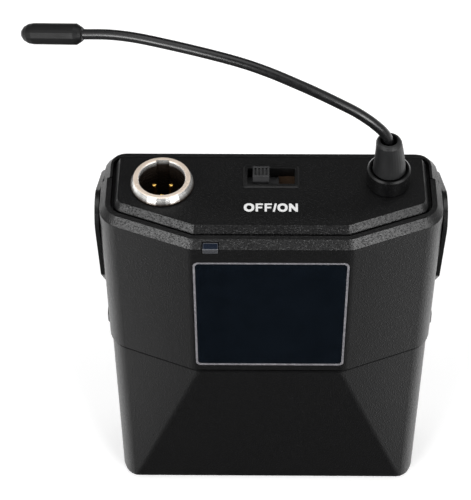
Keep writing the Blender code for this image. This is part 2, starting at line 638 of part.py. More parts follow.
def back_shell():
    """The rear cover: back, base and lower side rails, with screw bosses and the door's knuckles."""
    shell = casing_solid("back_shell", base_levels(0.0), "black_plastic", BACK_SIDE_STEP)
    wide = (-HALF_WIDTH - CUT, HALF_WIDTH + CUT)
    rail_top = DOOR_SKIRT_HEIGHT - GAP
    ahead = box("back_shell_ahead", wide, (FRONT_Y - CUT, PARTING_Y + GAP / 2), (rail_top, PANEL_Z + CUT))
    toe_curve = heel_curve(DOOR_FOOT_RADIUS + GAP, -MM / 2, rail_top + MM / 2)
    toe_outline = [(FRONT_Y - CUT, -MM / 2), *toe_curve, (FRONT_Y - CUT, rail_top + MM / 2)]
    toe = prism("back_shell_toe", "YZ", toe_outline, *wide)
    cut(shell, ahead, toe, casing_hollow("back_shell_hollow", FLOOR), rim_opening("back_shell_rim"))
    outline = knuckle_outline()
    for side in (-1, 1):
        middle = side * KNUCKLE_SPACING / 2
        join(shell, prism(f"knuckle_{side}", "YZ", outline, middle - KNUCKLE_WIDTH / 2,
                          middle + KNUCKLE_WIDTH / 2))
    cut(shell, rod("knuckle_bore", "X", (0, HINGE_Y, HINGE_Z), HINGE_BORE_RADIUS, *wide))
    for number, (x, z) in enumerate(CASE_SCREW_PLACES, 1):
        join(shell, rod(f"back_boss_{number}", "Y", (x, 0, z), BOSS_RADIUS, PARTING_Y + GAP / 2,
                        BACK_Y - WALL / 2))
    for side in (-1, 1):
        join(shell, rod(f"board_boss_{side}", "Y", (side * BOARD_SCREW_SPACING / 2, 0, BOARD_SCREW_Z),
                        BOSS_RADIUS, BOARD_BACK_Y + GAP, BACK_Y - WALL / 2))
    seat = BACK_Y - CASE_SCREW_HEAD_HEIGHT - GAP
    for number, (x, z) in enumerate(CASE_SCREW_PLACES, 1):
        cut(shell, screw_passage(f"back_screw_hole_{number}", x, z, CASE_SCREW_RADIUS + GAP, PARTING_Y,
                                 CASE_SCREW_HEAD_RADIUS + GAP, seat))
    for side in (-1, 1):
        cut(shell, rod(f"board_screw_hole_{side}", "Y", (side * BOARD_SCREW_SPACING / 2, 0, BOARD_SCREW_Z),
                       BOARD_SCREW_RADIUS + GAP, BOARD_BACK_Y, BACK_Y - WALL / 2, HOLE_STEPS))
    return shell


def top_panel():
    """The end panel, held by its flange under the casing's rim."""
    neck = LIP_INSET + PANEL_GROOVE
    flange_top = LIP_BOTTOM_Z - GAP
    flange_inset = WALL + GAP
    levels = [
        (flange_top - PANEL_FLANGE, flange_inset),
        (flange_top, flange_inset),
        (flange_top, neck),
        (PANEL_Z - PANEL_CHAMFER_DROP, neck),
        (PANEL_Z, neck + PANEL_CHAMFER_PLAN),
    ]
    rings = [casing_section(z, inset) for z, inset in levels]
    panel = loft("top_panel", rings, "panel_plastic", smooth=True)
    pocket = [casing_section(z, neck + PANEL_SKIRT) for z in (flange_top - PANEL_FLANGE - CUT, PANEL_UNDER_Z)]
    cut(panel, loft("panel_pocket", pocket))
    cut(panel, rod("nut_room", "Z", (SOCKET_X, SOCKET_Y, PANEL_UNDER_Z), SOCKET_NUT_RADIUS + SOCKET_NUT_CLEARANCE,
                   -2 * CUT, GAP / 3, 40))
    bezel = []
    for rise, shrink in ((-MM / 2, 0.0), (BEZEL_HEIGHT / 3, 0.0), (BEZEL_HEIGHT, BEZEL_HEIGHT)):
        z = PANEL_Z + rise
        half_x = BEZEL_LENGTH / 2 - shrink
        half_y = BEZEL_WIDTH / 2 - shrink
        outline = rounded_rectangle((-half_x, half_x), (SWITCH_Y - half_y, SWITCH_Y + half_y), MM / 2, 2)
        bezel.append([Vector((x, y, z)) for x, y in outline])
    join(panel, loft("switch_bezel", bezel))
    half_x = SWITCH_OPENING_LENGTH / 2
    half_y = SWITCH_OPENING_WIDTH / 2
    opening = rounded_rectangle((-half_x, half_x), (SWITCH_Y - half_y, SWITCH_Y + half_y), MM / 4, 2)
    cut(panel, prism("switch_opening", "XY", opening, PANEL_Z - CUT, PANEL_Z + CUT))
    cut(panel, rod("socket_hole", "Z", (SOCKET_X, SOCKET_Y, PANEL_Z), SOCKET_BARREL_RADIUS + GAP, -CUT, CUT, 32))
    cut(panel, rod("antenna_hole", "Z", (ANTENNA_X, ANTENNA_Y, PANEL_Z), COLLAR_STUD_RADIUS + GAP, -CUT, CUT, 24))
    pipe_half = LED_WINDOW_WIDTH / 2 + GAP
    pipe_back = FRONT_Y + WALL + GAP + LIGHT_PIPE_DEPTH + GAP
    cut(panel, box("light_pipe_pocket", (LED_X - pipe_half, LED_X + pipe_half), (FRONT_Y, pipe_back),
                   (flange_top - PANEL_FLANGE - CUT, flange_top + GAP / 3)))
    return panel


def battery_door():
    """The lower front cover, which turns forward on the pin in its foot. Only its facets are set back."""
    rings = [casing_section(z, DOOR_INSET + inset, 0.0, DOOR_INSET) for z, inset in base_levels(DOOR_LIFT)]
    rings += [casing_section(z, DOOR_INSET, 0.0, DOOR_INSET) for z in (SEAM_HEIGHT, SEAM_HEIGHT + CUT)]
    door = loft("battery_door", rings, "black_plastic", smooth=True)
    wide = (-HALF_WIDTH - CUT, HALF_WIDTH + CUT)
    edge = seam_edge(-GAP / 2)
    above = [(FRONT_Y - CUT, edge[0][1]), *edge, (edge[-1][0], SEAM_HEIGHT + 2 * CUT),
             (FRONT_Y - CUT, SEAM_HEIGHT + 2 * CUT)]
    cut(door, prism("door_above", "YZ", above, *wide))
    inner_half = HALF_WIDTH - DOOR_INSET - DOOR_WALL
    heel_top = DOOR_FOOT_HEIGHT + MM / 2
    heel = heel_curve(DOOR_FOOT_RADIUS, 0.0, heel_top)
    heel = [*heel, (BACK_Y, heel_top), (BACK_Y, 0.0)]
    skirt = heel_curve(DOOR_FOOT_RADIUS, 0.0, DOOR_SKIRT_HEIGHT)
    skirt = [*skirt, (BACK_Y + CUT, DOOR_SKIRT_HEIGHT), (BACK_Y + CUT, 0.0)]
    hollow = [casing_section(z, DOOR_INSET + DOOR_WALL, 0.0, DOOR_INSET)
              for z in (DOOR_FOOT_HEIGHT, SEAM_HEIGHT, SEAM_HEIGHT + 2 * CUT)]
    cut(door, loft("door_hollow", hollow))
    cut(door, box("door_behind", wide, (PARTING_Y - GAP / 2, BACK_Y + CUT), (-CUT, PANEL_Z)))
    cut(door, prism("door_heel", "YZ", heel, -inner_half, inner_half))
    cut(door, prism("door_skirt", "YZ", skirt, *wide))
    sweep_radius = KNUCKLE_RADIUS + GAP
    for side in (-1, 1):
        middle = side * KNUCKLE_SPACING / 2
        across = (middle - KNUCKLE_WIDTH / 2 - GAP, middle + KNUCKLE_WIDTH / 2 + GAP)
        cut(door, box(f"knuckle_slot_low_{side}", across, (HINGE_Y - GAP, BACK_Y),
                      (-CUT, DOOR_FOOT_HEIGHT + CUT)))
        cut(door, box(f"knuckle_slot_high_{side}", across, (HINGE_Y - sweep_radius, BACK_Y),
                      (HINGE_Z, DOOR_FOOT_HEIGHT + CUT)))
        cut(door, rod(f"knuckle_slot_round_{side}", "X", (0, HINGE_Y, HINGE_Z), sweep_radius, *across,
                      SLOT_STEPS))
    reach = HINGE_PIN_LENGTH / 2 + GAP
    cut(door, rod("door_bore", "X", (0, HINGE_Y, HINGE_Z), HINGE_BORE_RADIUS, -reach, reach))
    set_origin(door, (0, HINGE_Y, HINGE_Z))
    return door


def hinge_pin():
    half = HINGE_PIN_LENGTH / 2
    return rod("hinge_pin", "X", (0, HINGE_Y, HINGE_Z), HINGE_PIN_RADIUS, -half, half, 12, "steel")


def latch_buttons():
    """The two side buttons that free the door: a pad in the casing's window, a flange and a catch finger."""
    buttons = []
    inner = HALF_WIDTH - WALL - GAP
    flange_back = inner - LATCH_FLANGE_THICKNESS
    for side, word in ((-1, "left"), (1, "right")):
        half, tall = LATCH_LENGTH / 2, LATCH_HEIGHT / 2
        pad_outline = rounded_rectangle((LATCH_Y - half, LATCH_Y + half), (LATCH_Z - tall, LATCH_Z + tall),
                                        0.8 * MM)
        pad = [[Vector((side * x, a, b)) for a, b in outline] for x, outline in (
            (inner - LATCH_FLANGE_THICKNESS / 2, pad_outline),
            (HALF_WIDTH, pad_outline),
            (HALF_WIDTH + LATCH_PROUD, rounded_rectangle(
                (LATCH_Y - half + LATCH_PROUD, LATCH_Y + half - LATCH_PROUD),
                (LATCH_Z - tall + LATCH_PROUD, LATCH_Z + tall - LATCH_PROUD), 0.5 * MM)),
        )]
        button = loft(f"latch_button_{word}", pad, "black_plastic", smooth=True)
        flange_half, flange_tall = half + LATCH_FLANGE, tall + LATCH_FLANGE
        flange_low = max(LATCH_Z - flange_tall, SEAM_HEIGHT + GAP)
        join(button, box(f"latch_flange_{word}", sorted((side * flange_back, side * inner)),
                         (LATCH_Y - flange_half, LATCH_Y + flange_half), (flange_low, LATCH_Z + flange_tall)))
        finger_back = LATCH_Y + flange_half - GAP / 2
        finger_across = sorted((side * (flange_back - LATCH_FINGER_INSET), side * (flange_back + LATCH_FINGER_INSET)))
        join(button, box(f"latch_finger_{word}", finger_across, (finger_back - LATCH_FINGER_WIDTH, finger_back),
                         (flange_low - LATCH_FINGER_LENGTH, flange_low + MM)))
        set_origin(button, (side * HALF_WIDTH, LATCH_Y, LATCH_Z))
        buttons.append(button)
    return buttons


def label_outline(grow):
    half = LABEL_WIDTH / 2 + grow
    low = SEAM_HEIGHT + LABEL_ABOVE_SEAM - grow
    high = PANEL_Z - LABEL_BELOW_PANEL + grow
    return rounded_rectangle((-half, half), (low, high), LABEL_CORNER + grow)


def label_plate():
    front = FRONT_Y + LABEL_SINK
    return prism("label_plate", "XZ", label_outline(0.0), front, front + LABEL_THICKNESS, "label_gloss")


def led_window():
    """The light window, whose top slopes with the rim, and the light pipe down inside the front wall."""
    half = LED_WINDOW_WIDTH / 2
    pipe_front = FRONT_Y + WALL + GAP
    pipe_back = pipe_front + LIGHT_PIPE_DEPTH
    step_z = LED_BOTTOM_Z + LIP_THICKNESS / 4
    outline = [
        (FRONT_Y - LED_WINDOW_PROUD, LED_BOTTOM_Z),
        (pipe_front, LED_BOTTOM_Z),
        (pipe_front, LED_TOP_Z - LIGHT_PIPE_LENGTH),
        (pipe_back, LED_TOP_Z - LIGHT_PIPE_LENGTH),
        (pipe_back, step_z),
        (pipe_front, step_z),
        (pipe_front, LED_TOP_Z),
        (FRONT_Y + LED_WEDGE_DEPTH, LED_TOP_Z),
        (FRONT_Y + LED_WEDGE_DEPTH, LED_TOP_Z + LED_WEDGE_RISE),
        (FRONT_Y - LED_WINDOW_PROUD, LED_TOP_Z),
    ]
    return prism("led_window", "YZ", outline, LED_X - half, LED_X + half, "led_plastic")


def status_led():
    """The LED under the light pipe, on two leads that bend back to the circuit board."""
    top = LED_TOP_Z - LIGHT_PIPE_LENGTH - GAP
    y = FRONT_Y + WALL + GAP + LED_RADIUS
    dome = [(0, 0), (LED_RADIUS * 0.6, -0.2 * MM), (LED_RADIUS, -LED_RADIUS * 0.8), (LED_RADIUS, -LED_LENGTH),
            (0, -LED_LENGTH)]
    led = turned("status_led", "Z", (LED_X, y, top), dome, 16, "led_plastic")
    bend_z = top - LED_LENGTH - 3 * LED_LEAD
    for side in (-1, 1):
        outline = [
            (y - LED_LEAD / 2, top - LED_LENGTH + LED_LEAD),
            (y - LED_LEAD / 2, bend_z),
            (BOARD_FRONT_Y - GAP, bend_z),
            (BOARD_FRONT_Y - GAP, bend_z + LED_LEAD),
            (y + LED_LEAD / 2, bend_z + LED_LEAD),
            (y + LED_LEAD / 2, top - LED_LENGTH + LED_LEAD),
        ]
        middle = LED_X + side * LED_RADIUS / 2
        join(led, prism(f"led_lead_{side}", "YZ", outline, middle - LED_LEAD / 2, middle + LED_LEAD / 2))
    return led


# ---------------------------------------------------------------- microphone socket
def socket_barrel():
    """The socket's metal barrel, its ring standing on the panel, with a keyway at the back of the bore."""
    rim = SOCKET_RING_HEIGHT
    chamfer = 0.2 * MM
    profile = [
        (SOCKET_BORE_RADIUS, -SOCKET_LENGTH),
        (SOCKET_BARREL_RADIUS, -SOCKET_LENGTH),
        (SOCKET_BARREL_RADIUS, SOCKET_SEAT),
        (SOCKET_RING_RADIUS, SOCKET_SEAT),
        (SOCKET_RING_RADIUS, SOCKET_SEAT + chamfer),
        (SOCKET_RIM_RADIUS + chamfer, rim - chamfer / 4),
        (SOCKET_RIM_RADIUS, rim),
        (SOCKET_BORE_RADIUS + chamfer, rim),
        (SOCKET_BORE_RADIUS, rim - chamfer),
    ]
    barrel = turned("socket_barrel", "Z", (SOCKET_X, SOCKET_Y, PANEL_Z), profile, 40, "nickel", closed=True)
    half = SOCKET_KEY_WIDTH / 2
    cut(barrel, box("socket_keyway", (SOCKET_X - half, SOCKET_X + half),
                    (SOCKET_Y, SOCKET_Y + SOCKET_BORE_RADIUS + SOCKET_KEY_DEPTH),
                    (PANEL_Z - SOCKET_LENGTH - CUT, PANEL_Z + CUT)))
    return barrel


def socket_nut():
    """The slotted ring nut that clamps the barrel to the panel from below."""
    top = PANEL_UNDER_Z - PANEL_Z - GAP
    inner = SOCKET_BARREL_RADIUS + GAP / 2
    profile = [(inner, top - SOCKET_NUT_HEIGHT), (SOCKET_NUT_RADIUS, top - SOCKET_NUT_HEIGHT),
               (SOCKET_NUT_RADIUS, top), (inner, top)]
    nut = turned("socket_nut", "Z", (SOCKET_X, SOCKET_Y, PANEL_Z), profile, 32, "nickel", closed=True)
    bottom = PANEL_Z + top - SOCKET_NUT_HEIGHT
    cut(nut, box("nut_slot", (SOCKET_X - CUT * 3, SOCKET_X + CUT * 3), (SOCKET_Y - MM / 2, SOCKET_Y + MM / 2),
                 (bottom - CUT, bottom + SOCKET_NUT_HEIGHT / 3)))
    return nut


def contact_pin_places():
    """Pin centres round the socket's axis, the first one towards the label side."""
    places = []
    for k in range(CONTACT_PIN_COUNT):
        turn = -math.pi / 2 + 2 * math.pi * k / CONTACT_PIN_COUNT
        places.append((SOCKET_X + CONTACT_PIN_CIRCLE * math.cos(turn),
                       SOCKET_Y + CONTACT_PIN_CIRCLE * math.sin(turn)))
    return places


def socket_insulator():
    top = -INSULATOR_BELOW_PANEL
    disc = rod("socket_insulator", "Z", (SOCKET_X, SOCKET_Y, PANEL_Z), SOCKET_BORE_RADIUS - GAP,
               top - INSULATOR_THICKNESS, top, 32, "insulator")
    for number, (x, y) in enumerate(contact_pin_places(), 1):
        cut(disc, rod(f"insulator_hole_{number}", "Z", (x, y, PANEL_Z), CONTACT_PIN_RADIUS + GAP / 2,
                      top - INSULATOR_THICKNESS - CUT, top + CUT, 12))
    return disc


def socket_pins():
    pins = []
    tip = SOCKET_RING_HEIGHT - CONTACT_PIN_TIP_DEPTH
    tail = -INSULATOR_BELOW_PANEL - INSULATOR_THICKNESS - CONTACT_PIN_TAIL
    nose = CONTACT_PIN_RADIUS * 0.5
    for number, (x, y) in enumerate(contact_pin_places(), 1):
        profile = [(0, tail), (CONTACT_PIN_RADIUS, tail), (CONTACT_PIN_RADIUS, tip - nose),
                   (CONTACT_PIN_RADIUS * 0.75, tip - nose * 0.3), (nose * 0.6, tip), (0, tip)]
        pins.append(turned(f"socket_pin_{number}", "Z", (x, y, PANEL_Z), profile, 12, "gold"))
    return pins


# ---------------------------------------------------------------- antenna
COLLAR_TOP_Z = PANEL_Z + COLLAR_HEIGHT
BOOT_BASE_Z = COLLAR_TOP_Z - COLLAR_LIP / 2
BOOT_TOP_Z = BOOT_BASE_Z + GAP / 2 + BOOT_HEIGHT
BOOT_TOP = Vector((ANTENNA_X - BOOT_LEAN, ANTENNA_Y, BOOT_TOP_Z))


def antenna_collar():
    """The black bush on the panel, with a raised lip round its top and a threaded stud below."""
    top = COLLAR_HEIGHT
    floor = top - COLLAR_LIP
    ease = 0.3 * MM
    profile = [
        (0, -COLLAR_STUD_LENGTH), (COLLAR_STUD_RADIUS, -COLLAR_STUD_LENGTH), (COLLAR_STUD_RADIUS, SOCKET_SEAT),
        (COLLAR_RADIUS, SOCKET_SEAT), (COLLAR_RADIUS, top - ease), (COLLAR_RADIUS - ease, top),
        (COLLAR_RADIUS - COLLAR_LIP, top), (COLLAR_RADIUS - COLLAR_LIP - ease, floor), (0, floor),
    ]
    return turned("antenna_collar", "Z", (ANTENNA_X, ANTENNA_Y, PANEL_Z), profile, 36, "rubber")


def antenna_nut():
    top = PANEL_UNDER_Z - PANEL_Z - GAP
    centre = (ANTENNA_X, ANTENNA_Y, PANEL_Z)
    nut = rod("antenna_nut", "Z", centre, ANTENNA_NUT_RADIUS, top - ANTENNA_NUT_HEIGHT, top, 6, "nickel")
    cut(nut, rod("antenna_nut_hole", "Z", centre, COLLAR_STUD_RADIUS + GAP / 2, top - CUT, top + CUT, 24))
    return nut


def antenna_boot():
    """The tapered rubber boot, leaning a little the way the wire pulls it, with an open mouth."""
    height = BOOT_HEIGHT
    lip = BOOT_LIP_RADIUS
    profile = [(BOOT_BASE_RADIUS, 0.0)]
    for k in range(1, 5):
        share = k / 4 * (height - lip) / height
        profile.append((BOOT_BASE_RADIUS + (BOOT_TOP_RADIUS - BOOT_BASE_RADIUS) * share, share * height))
    mouth = BOOT_BORE_RADIUS + 0.1 * MM
    for k in range(1, 4):
        turn = math.radians(30 * k)
        profile.append((BOOT_TOP_RADIUS - (BOOT_TOP_RADIUS - mouth) * (1 - math.cos(turn)),
                        height - lip + lip * math.sin(turn)))
    profile.append((BOOT_BORE_RADIUS, height - lip / 2))
    profile.append((BOOT_BORE_RADIUS, height - BOOT_BORE_DEPTH))
    base = Vector((ANTENNA_X, ANTENNA_Y, BOOT_BASE_Z + GAP / 2))
    rings = []
    for radius, z in profile:
        shift = -BOOT_LEAN * (z / height) ** 2
        ring = []
        for i in range(32):
            turn = 2 * math.pi * i / 32
            ring.append(base + Vector((shift + radius * math.cos(turn), radius * math.sin(turn), z)))
        rings.append(ring)
    return loft("antenna_boot", rings, "rubber", smooth=True)


# The wire's route from inside the boot's mouth to the cap, in millimetres from the mouth's centre.
CABLE_ROUTE = [
    (0.0, 0.0, -3.5), (0.0, 0.0, -2.2), (0.0, 0.0, -1.0), (-0.12, 0.0, 0.0), (-0.55, 0.0, 1.0),
    (-1.25, 0.05, 2.05), (-2.0, 0.1, 2.9), (-3.7, 0.25, 4.5), (-6.3, 0.6, 6.35), (-9.3, 1.0, 8.0),
    (-12.9, 1.6, 9.75), (-16.5, 2.3, 11.25), (-21.85, 3.6, 13.05), (-27.2, 5.0, 14.2), (-34.4, 7.0, 14.9),
    (-42.5, 9.6, 15.0), (-47.0, 11.0, 14.85), (-51.0, 12.1, 14.4), (-55.3, 13.2, 13.5),
]


def smooth_route(points, spacing):
    """Evenly spaced points on a smooth curve through the route's own points."""
    padded = [points[0] * 2 - points[1], *points, points[-1] * 2 - points[-2]]
    fine = []
    for a, b, c, d in zip(padded, padded[1:], padded[2:], padded[3:]):
        for k in range(24):
            t = k / 24
            fine.append(0.5 * ((2 * b) + (c - a) * t + (2 * a - 5 * b + 4 * c - d) * t * t
                               + (3 * b - a - 3 * c + d) * t ** 3))
    fine.append(points[-1].copy())
    lengths = [0.0]
    for before, after in zip(fine, fine[1:]):
        lengths.append(lengths[-1] + (after - before).length)
    count = max(2, round(lengths[-1] / spacing))
    spaced = []
    k = 0
    for i in range(count + 1):
        goal = lengths[-1] * i / count
        while k < len(fine) - 2 and lengths[k + 1] < goal:
            k += 1
        share = (goal - lengths[k]) / (lengths[k + 1] - lengths[k])
        spaced.append(fine[k].lerp(fine[k + 1], share))
    return spaced, lengths[-1]


def tube(name, points, radius, finish, resolution=2):
    """A round tube along points, with flat ends."""
    curve = bpy.data.curves.new(name, "CURVE")
    curve.dimensions = "3D"
    curve.bevel_depth = radius
    curve.bevel_resolution = resolution
    curve.use_fill_caps = True
    spline = curve.splines.new("POLY")
    spline.points.add(len(points) - 1)
    for target, point in zip(spline.points, points):
        target.co = (*point, 1.0)
    curve.materials.append(material(finish))
    thing = bpy.data.objects.new(name, curve)
    bpy.context.scene.collection.objects.link(thing)
    return thing


def antenna_cable():
    route = [BOOT_TOP + Vector(point) * MM for point in CABLE_ROUTE]
    points, length = smooth_route(route, 2 * CABLE_DIAMETER)
    print(f"antenna wire {length * 1000:.1f} mm long")
    return tube("antenna_cable", points, CABLE_DIAMETER / 2, "rubber")


def antenna_cap():
    """The moulded end cap, in line with the wire's last stretch."""
    end = BOOT_TOP + Vector(CABLE_ROUTE[-1]) * MM
    ahead = (Vector(CABLE_ROUTE[-1]) - Vector(CABLE_ROUTE[-2])).normalized()
    r, length = CAP_RADIUS, CAP_LENGTH
    profile = [(0, 0), (CAP_NECK_RADIUS, 0), (CAP_NECK_RADIUS + 0.25 * MM, 0.35 * MM), (r, CAP_SHOULDER),
               (r, length - CAP_NOSE)]
    for k in range(1, 5):
        turn = math.radians(22.5 * k)
        profile.append((r * math.cos(turn) if k < 4 else 0, length - CAP_NOSE * (1 - math.sin(turn))))
    cap = turned("antenna_cap", "Z", (0, 0, 0), profile, 24, "rubber")
    spin = Vector((0, 0, 1)).rotation_difference(ahead).to_matrix().to_4x4()
    cap.data.transform(Matrix.Translation(end + ahead * GAP) @ spin)
    return cap


# ---------------------------------------------------------------- switch
KNOB_X = -KNOB_TRAVEL / 2


def switch_knob():
    """The ribbed slide knob and the slider that carries it under the panel."""
    top = PANEL_Z + KNOB_HEIGHT
    half = KNOB_LENGTH / 2
    knob = box("switch_knob", (KNOB_X - half, KNOB_X + half),
               (SWITCH_Y - KNOB_WIDTH / 2, SWITCH_Y + KNOB_WIDTH / 2),
               (FRAME_TOP_Z - SLIDER_THICKNESS / 2, top), "black_plastic")
    join(knob, box("switch_slider", (KNOB_X - SLIDER_LENGTH / 2, KNOB_X + SLIDER_LENGTH / 2),
                   (SWITCH_Y - SLIDER_WIDTH / 2, SWITCH_Y + SLIDER_WIDTH / 2),
                   (FRAME_TOP_Z - SLIDER_THICKNESS, FRAME_TOP_Z)))
    cell = KNOB_LENGTH / (2 * KNOB_RIB_COUNT - 1)
    margin = KNOB_WIDTH / 2 - cell
    for number in range(KNOB_RIB_COUNT - 1):
        low = KNOB_X - half + cell * (2 * number + 1)
        cut(knob, box(f"knob_groove_{number}", (low, low + cell), (SWITCH_Y - margin, SWITCH_Y + margin),
                      (top - KNOB_GROOVE_DEPTH, top + CUT)))
    set_origin(knob, (KNOB_X, SWITCH_Y, PANEL_Z))
    return knob


def switch_frame():
    """The switch's sheet metal frame under the panel, open at the top."""
    half_x, half_y = SWITCH_FRAME_LENGTH / 2, SWITCH_FRAME_WIDTH / 2
    frame = box("switch_frame", (-half_x, half_x), (SWITCH_Y - half_y, SWITCH_Y + half_y),
                (FRAME_TOP_Z - SWITCH_FRAME_HEIGHT, FRAME_TOP_Z), "switch_metal")
    half_x -= SWITCH_FRAME_WALL
    half_y -= SWITCH_FRAME_WALL
    cut(frame, box("switch_frame_hollow", (-half_x, half_x), (SWITCH_Y - half_y, SWITCH_Y + half_y),
                   (FRAME_TOP_Z - SWITCH_FRAME_HEIGHT + SWITCH_FRAME_WALL, FRAME_TOP_Z + CUT)))
    return frame


def switch_wafer():
    """The brown contact wafer at the bottom of the switch frame."""
    half_x = SWITCH_FRAME_LENGTH / 2 - SWITCH_FRAME_WALL - GAP
    half_y = SWITCH_FRAME_WIDTH / 2 - SWITCH_FRAME_WALL - GAP
    low = FRAME_TOP_Z - SWITCH_FRAME_HEIGHT + SWITCH_FRAME_WALL + GAP / 2
    return box("switch_wafer", (-half_x, half_x), (SWITCH_Y - half_y, SWITCH_Y + half_y),
               (low, low + WAFER_THICKNESS), "phenolic")


# ---------------------------------------------------------------- electronics
def circuit_board():
    half = BOARD_WIDTH / 2
    board = box("circuit_board", (-half, half), (BOARD_FRONT_Y, BOARD_BACK_Y),
                (BOARD_BOTTOM_Z, PANEL_Z - BOARD_BELOW_PANEL), "board")
    for side in (-1, 1):
        cut(board, rod(f"board_hole_{side}", "Y", (side * BOARD_SCREW_SPACING / 2, 0, BOARD_SCREW_Z),
                       BOARD_SCREW_RADIUS + GAP, BOARD_FRONT_Y - CUT, BOARD_BACK_Y + CUT))
    return board


def shield_can():
    """The tinned cover over the radio circuit, a shallow box open towards the board."""
    x = (SHIELD_X - SHIELD_WIDTH / 2, SHIELD_X + SHIELD_WIDTH / 2)
    low = BOARD_BOTTOM_Z + SHIELD_ABOVE_BOARD_EDGE
    z = (low, low + SHIELD_HEIGHT)
    y = (BOARD_FRONT_Y - GAP - SHIELD_THICKNESS, BOARD_FRONT_Y - GAP)
    can = box("shield_can", x, y, z, "tin")
    skin = SWITCH_FRAME_WALL
    cut(can, box("shield_hollow", (x[0] + skin, x[1] - skin), (y[0] + skin, y[1] + CUT),
                 (z[0] + skin, z[1] - skin)))
    return can


def crossed_screw(name, axis_centre, head_radius, head_height, shank_radius, length, outward):
    """A pan-head screw along Y with a cross recess; its head faces the way outward says."""
    x, y, z = axis_centre
    profile = [(0, -length), (shank_radius, -length), (shank_radius, -head_height), (head_radius, -head_height),
               (head_radius, -head_height * 0.3), (head_radius * 0.85, 0), (0, 0)]
    profile = [(radius, along * outward) for radius, along in profile]
    screw = turned(name, "Y", (x, y, z), profile, 16, "steel")
    slot = head_radius * 0.12
    arm = head_radius * 0.6
    depth = sorted((y - outward * head_height * 0.6, y + outward * CUT))
    cut(screw, box(f"{name}_slot_a", (x - arm, x + arm), depth, (z - slot, z + slot)))
    cut(screw, box(f"{name}_slot_b", (x - slot, x + slot), depth, (z - arm, z + arm)))
    return screw


def screws():
    made = []
    for number, (x, z) in enumerate(CASE_SCREW_PLACES, 1):
        made.append(crossed_screw(f"case_screw_{number}", (x, BACK_Y - GAP / 2, z), CASE_SCREW_HEAD_RADIUS,
                                  CASE_SCREW_HEAD_HEIGHT, CASE_SCREW_RADIUS, CASE_SCREW_LENGTH, 1))
    head = BOARD_FRONT_Y - GAP - BOARD_SCREW_HEAD_HEIGHT
    length = BACK_Y - WALL - head
    for side, word in ((-1, "left"), (1, "right")):
        place_on_board = (side * BOARD_SCREW_SPACING / 2, head, BOARD_SCREW_Z)
        made.append(crossed_screw(f"board_screw_{word}", place_on_board, BOARD_SCREW_HEAD_RADIUS,
                                  BOARD_SCREW_HEAD_HEIGHT, BOARD_SCREW_RADIUS, length, -1))
    return made


# ---------------------------------------------------------------- battery compartment
def battery_tray():
    """The tray for two cells lying across the pack, open towards the door."""
    x = (-TRAY_HALF_WIDTH, TRAY_HALF_WIDTH)
    corners = [(x[0], TRAY_FRONT_Y), (x[1], TRAY_FRONT_Y), (x[1], TRAY_BACK_Y), (x[0], TRAY_BACK_Y)]
    outline = rounded(corners, [0, 0, TRAY_CORNER, TRAY_CORNER], [0, 0, 4, 4])
    tray = prism("battery_tray", "XY", outline, TRAY_BOTTOM, TRAY_TOP, "black_plastic")
    bay = (-BAY_HALF_WIDTH, BAY_HALF_WIDTH)
    mouth = TRAY_FRONT_Y - CUT
    bay_corners = [(bay[0], mouth), (bay[1], mouth), (bay[1], BAY_BACK_Y), (bay[0], BAY_BACK_Y)]
    bay_corner = TRAY_CORNER - TRAY_SIDE_WALL
    bay_outline = rounded(bay_corners, [0, 0, bay_corner, bay_corner], [0, 0, 3, 3])
    cut(tray, prism("battery_bay", "XY", bay_outline, TRAY_BOTTOM + TRAY_WALL, TRAY_TOP - TRAY_WALL))
    ridge_half = TRAY_RIDGE_WIDTH / 2
    ridge_root = BAY_BACK_Y + TRAY_WALL / 2
    ridge_top = BAY_BACK_Y - TRAY_RIDGE_HEIGHT
    ridge = [
        (ridge_root, BAY_MIDDLE_Z - 2 * ridge_half),
        (ridge_top, BAY_MIDDLE_Z - ridge_half),
        (ridge_top, BAY_MIDDLE_Z + ridge_half),
        (ridge_root, BAY_MIDDLE_Z + 2 * ridge_half),
    ]
    ridge_end = BAY_HALF_WIDTH - SPRING_PITCH * (SPRING_TURNS + 1)
    join(tray, prism("tray_ridge", "YZ", ridge, -ridge_end, ridge_end))
    return tray


def contact_plates():
    """Nickelled contacts: two single plates on the left and a bridge across both cells on the right."""
    outer = BAY_HALF_WIDTH - GAP
    inner = outer - CONTACT_THICKNESS
    y = (CELL_Y - CONTACT_WIDTH / 2, CELL_Y + CONTACT_WIDTH / 2)
    half = CONTACT_HEIGHT / 2
    upper = box("contact_plate_upper", (-outer, -inner), y, (UPPER_CELL_Z - half, UPPER_CELL_Z + half), "nickel")
    join(upper, rod("nub_upper", "X", (0, CELL_Y, UPPER_CELL_Z), CONTACT_NUB_RADIUS,
                    -inner - CONTACT_THICKNESS / 2, -inner + CONTACT_NUB_HEIGHT))
    lower = box("contact_plate_lower", (-outer, -inner), y, (LOWER_CELL_Z - half, LOWER_CELL_Z + half), "nickel")
    bridge = box("contact_bridge", (inner, outer), y, (LOWER_CELL_Z - half, UPPER_CELL_Z + half), "nickel")
    join(bridge, rod("nub_lower", "X", (0, CELL_Y, LOWER_CELL_Z), CONTACT_NUB_RADIUS, inner - CONTACT_NUB_HEIGHT,
                     inner + CONTACT_THICKNESS / 2))
    return [upper, lower, bridge]


def least_gap(points, radius):
    """The least clear distance between stretches of a wound wire that lie half a turn or more apart."""
    near = min((a - b).length for i, a in enumerate(points) for b in points[i + TURN_STEPS // 2:])
    return near - 2 * radius


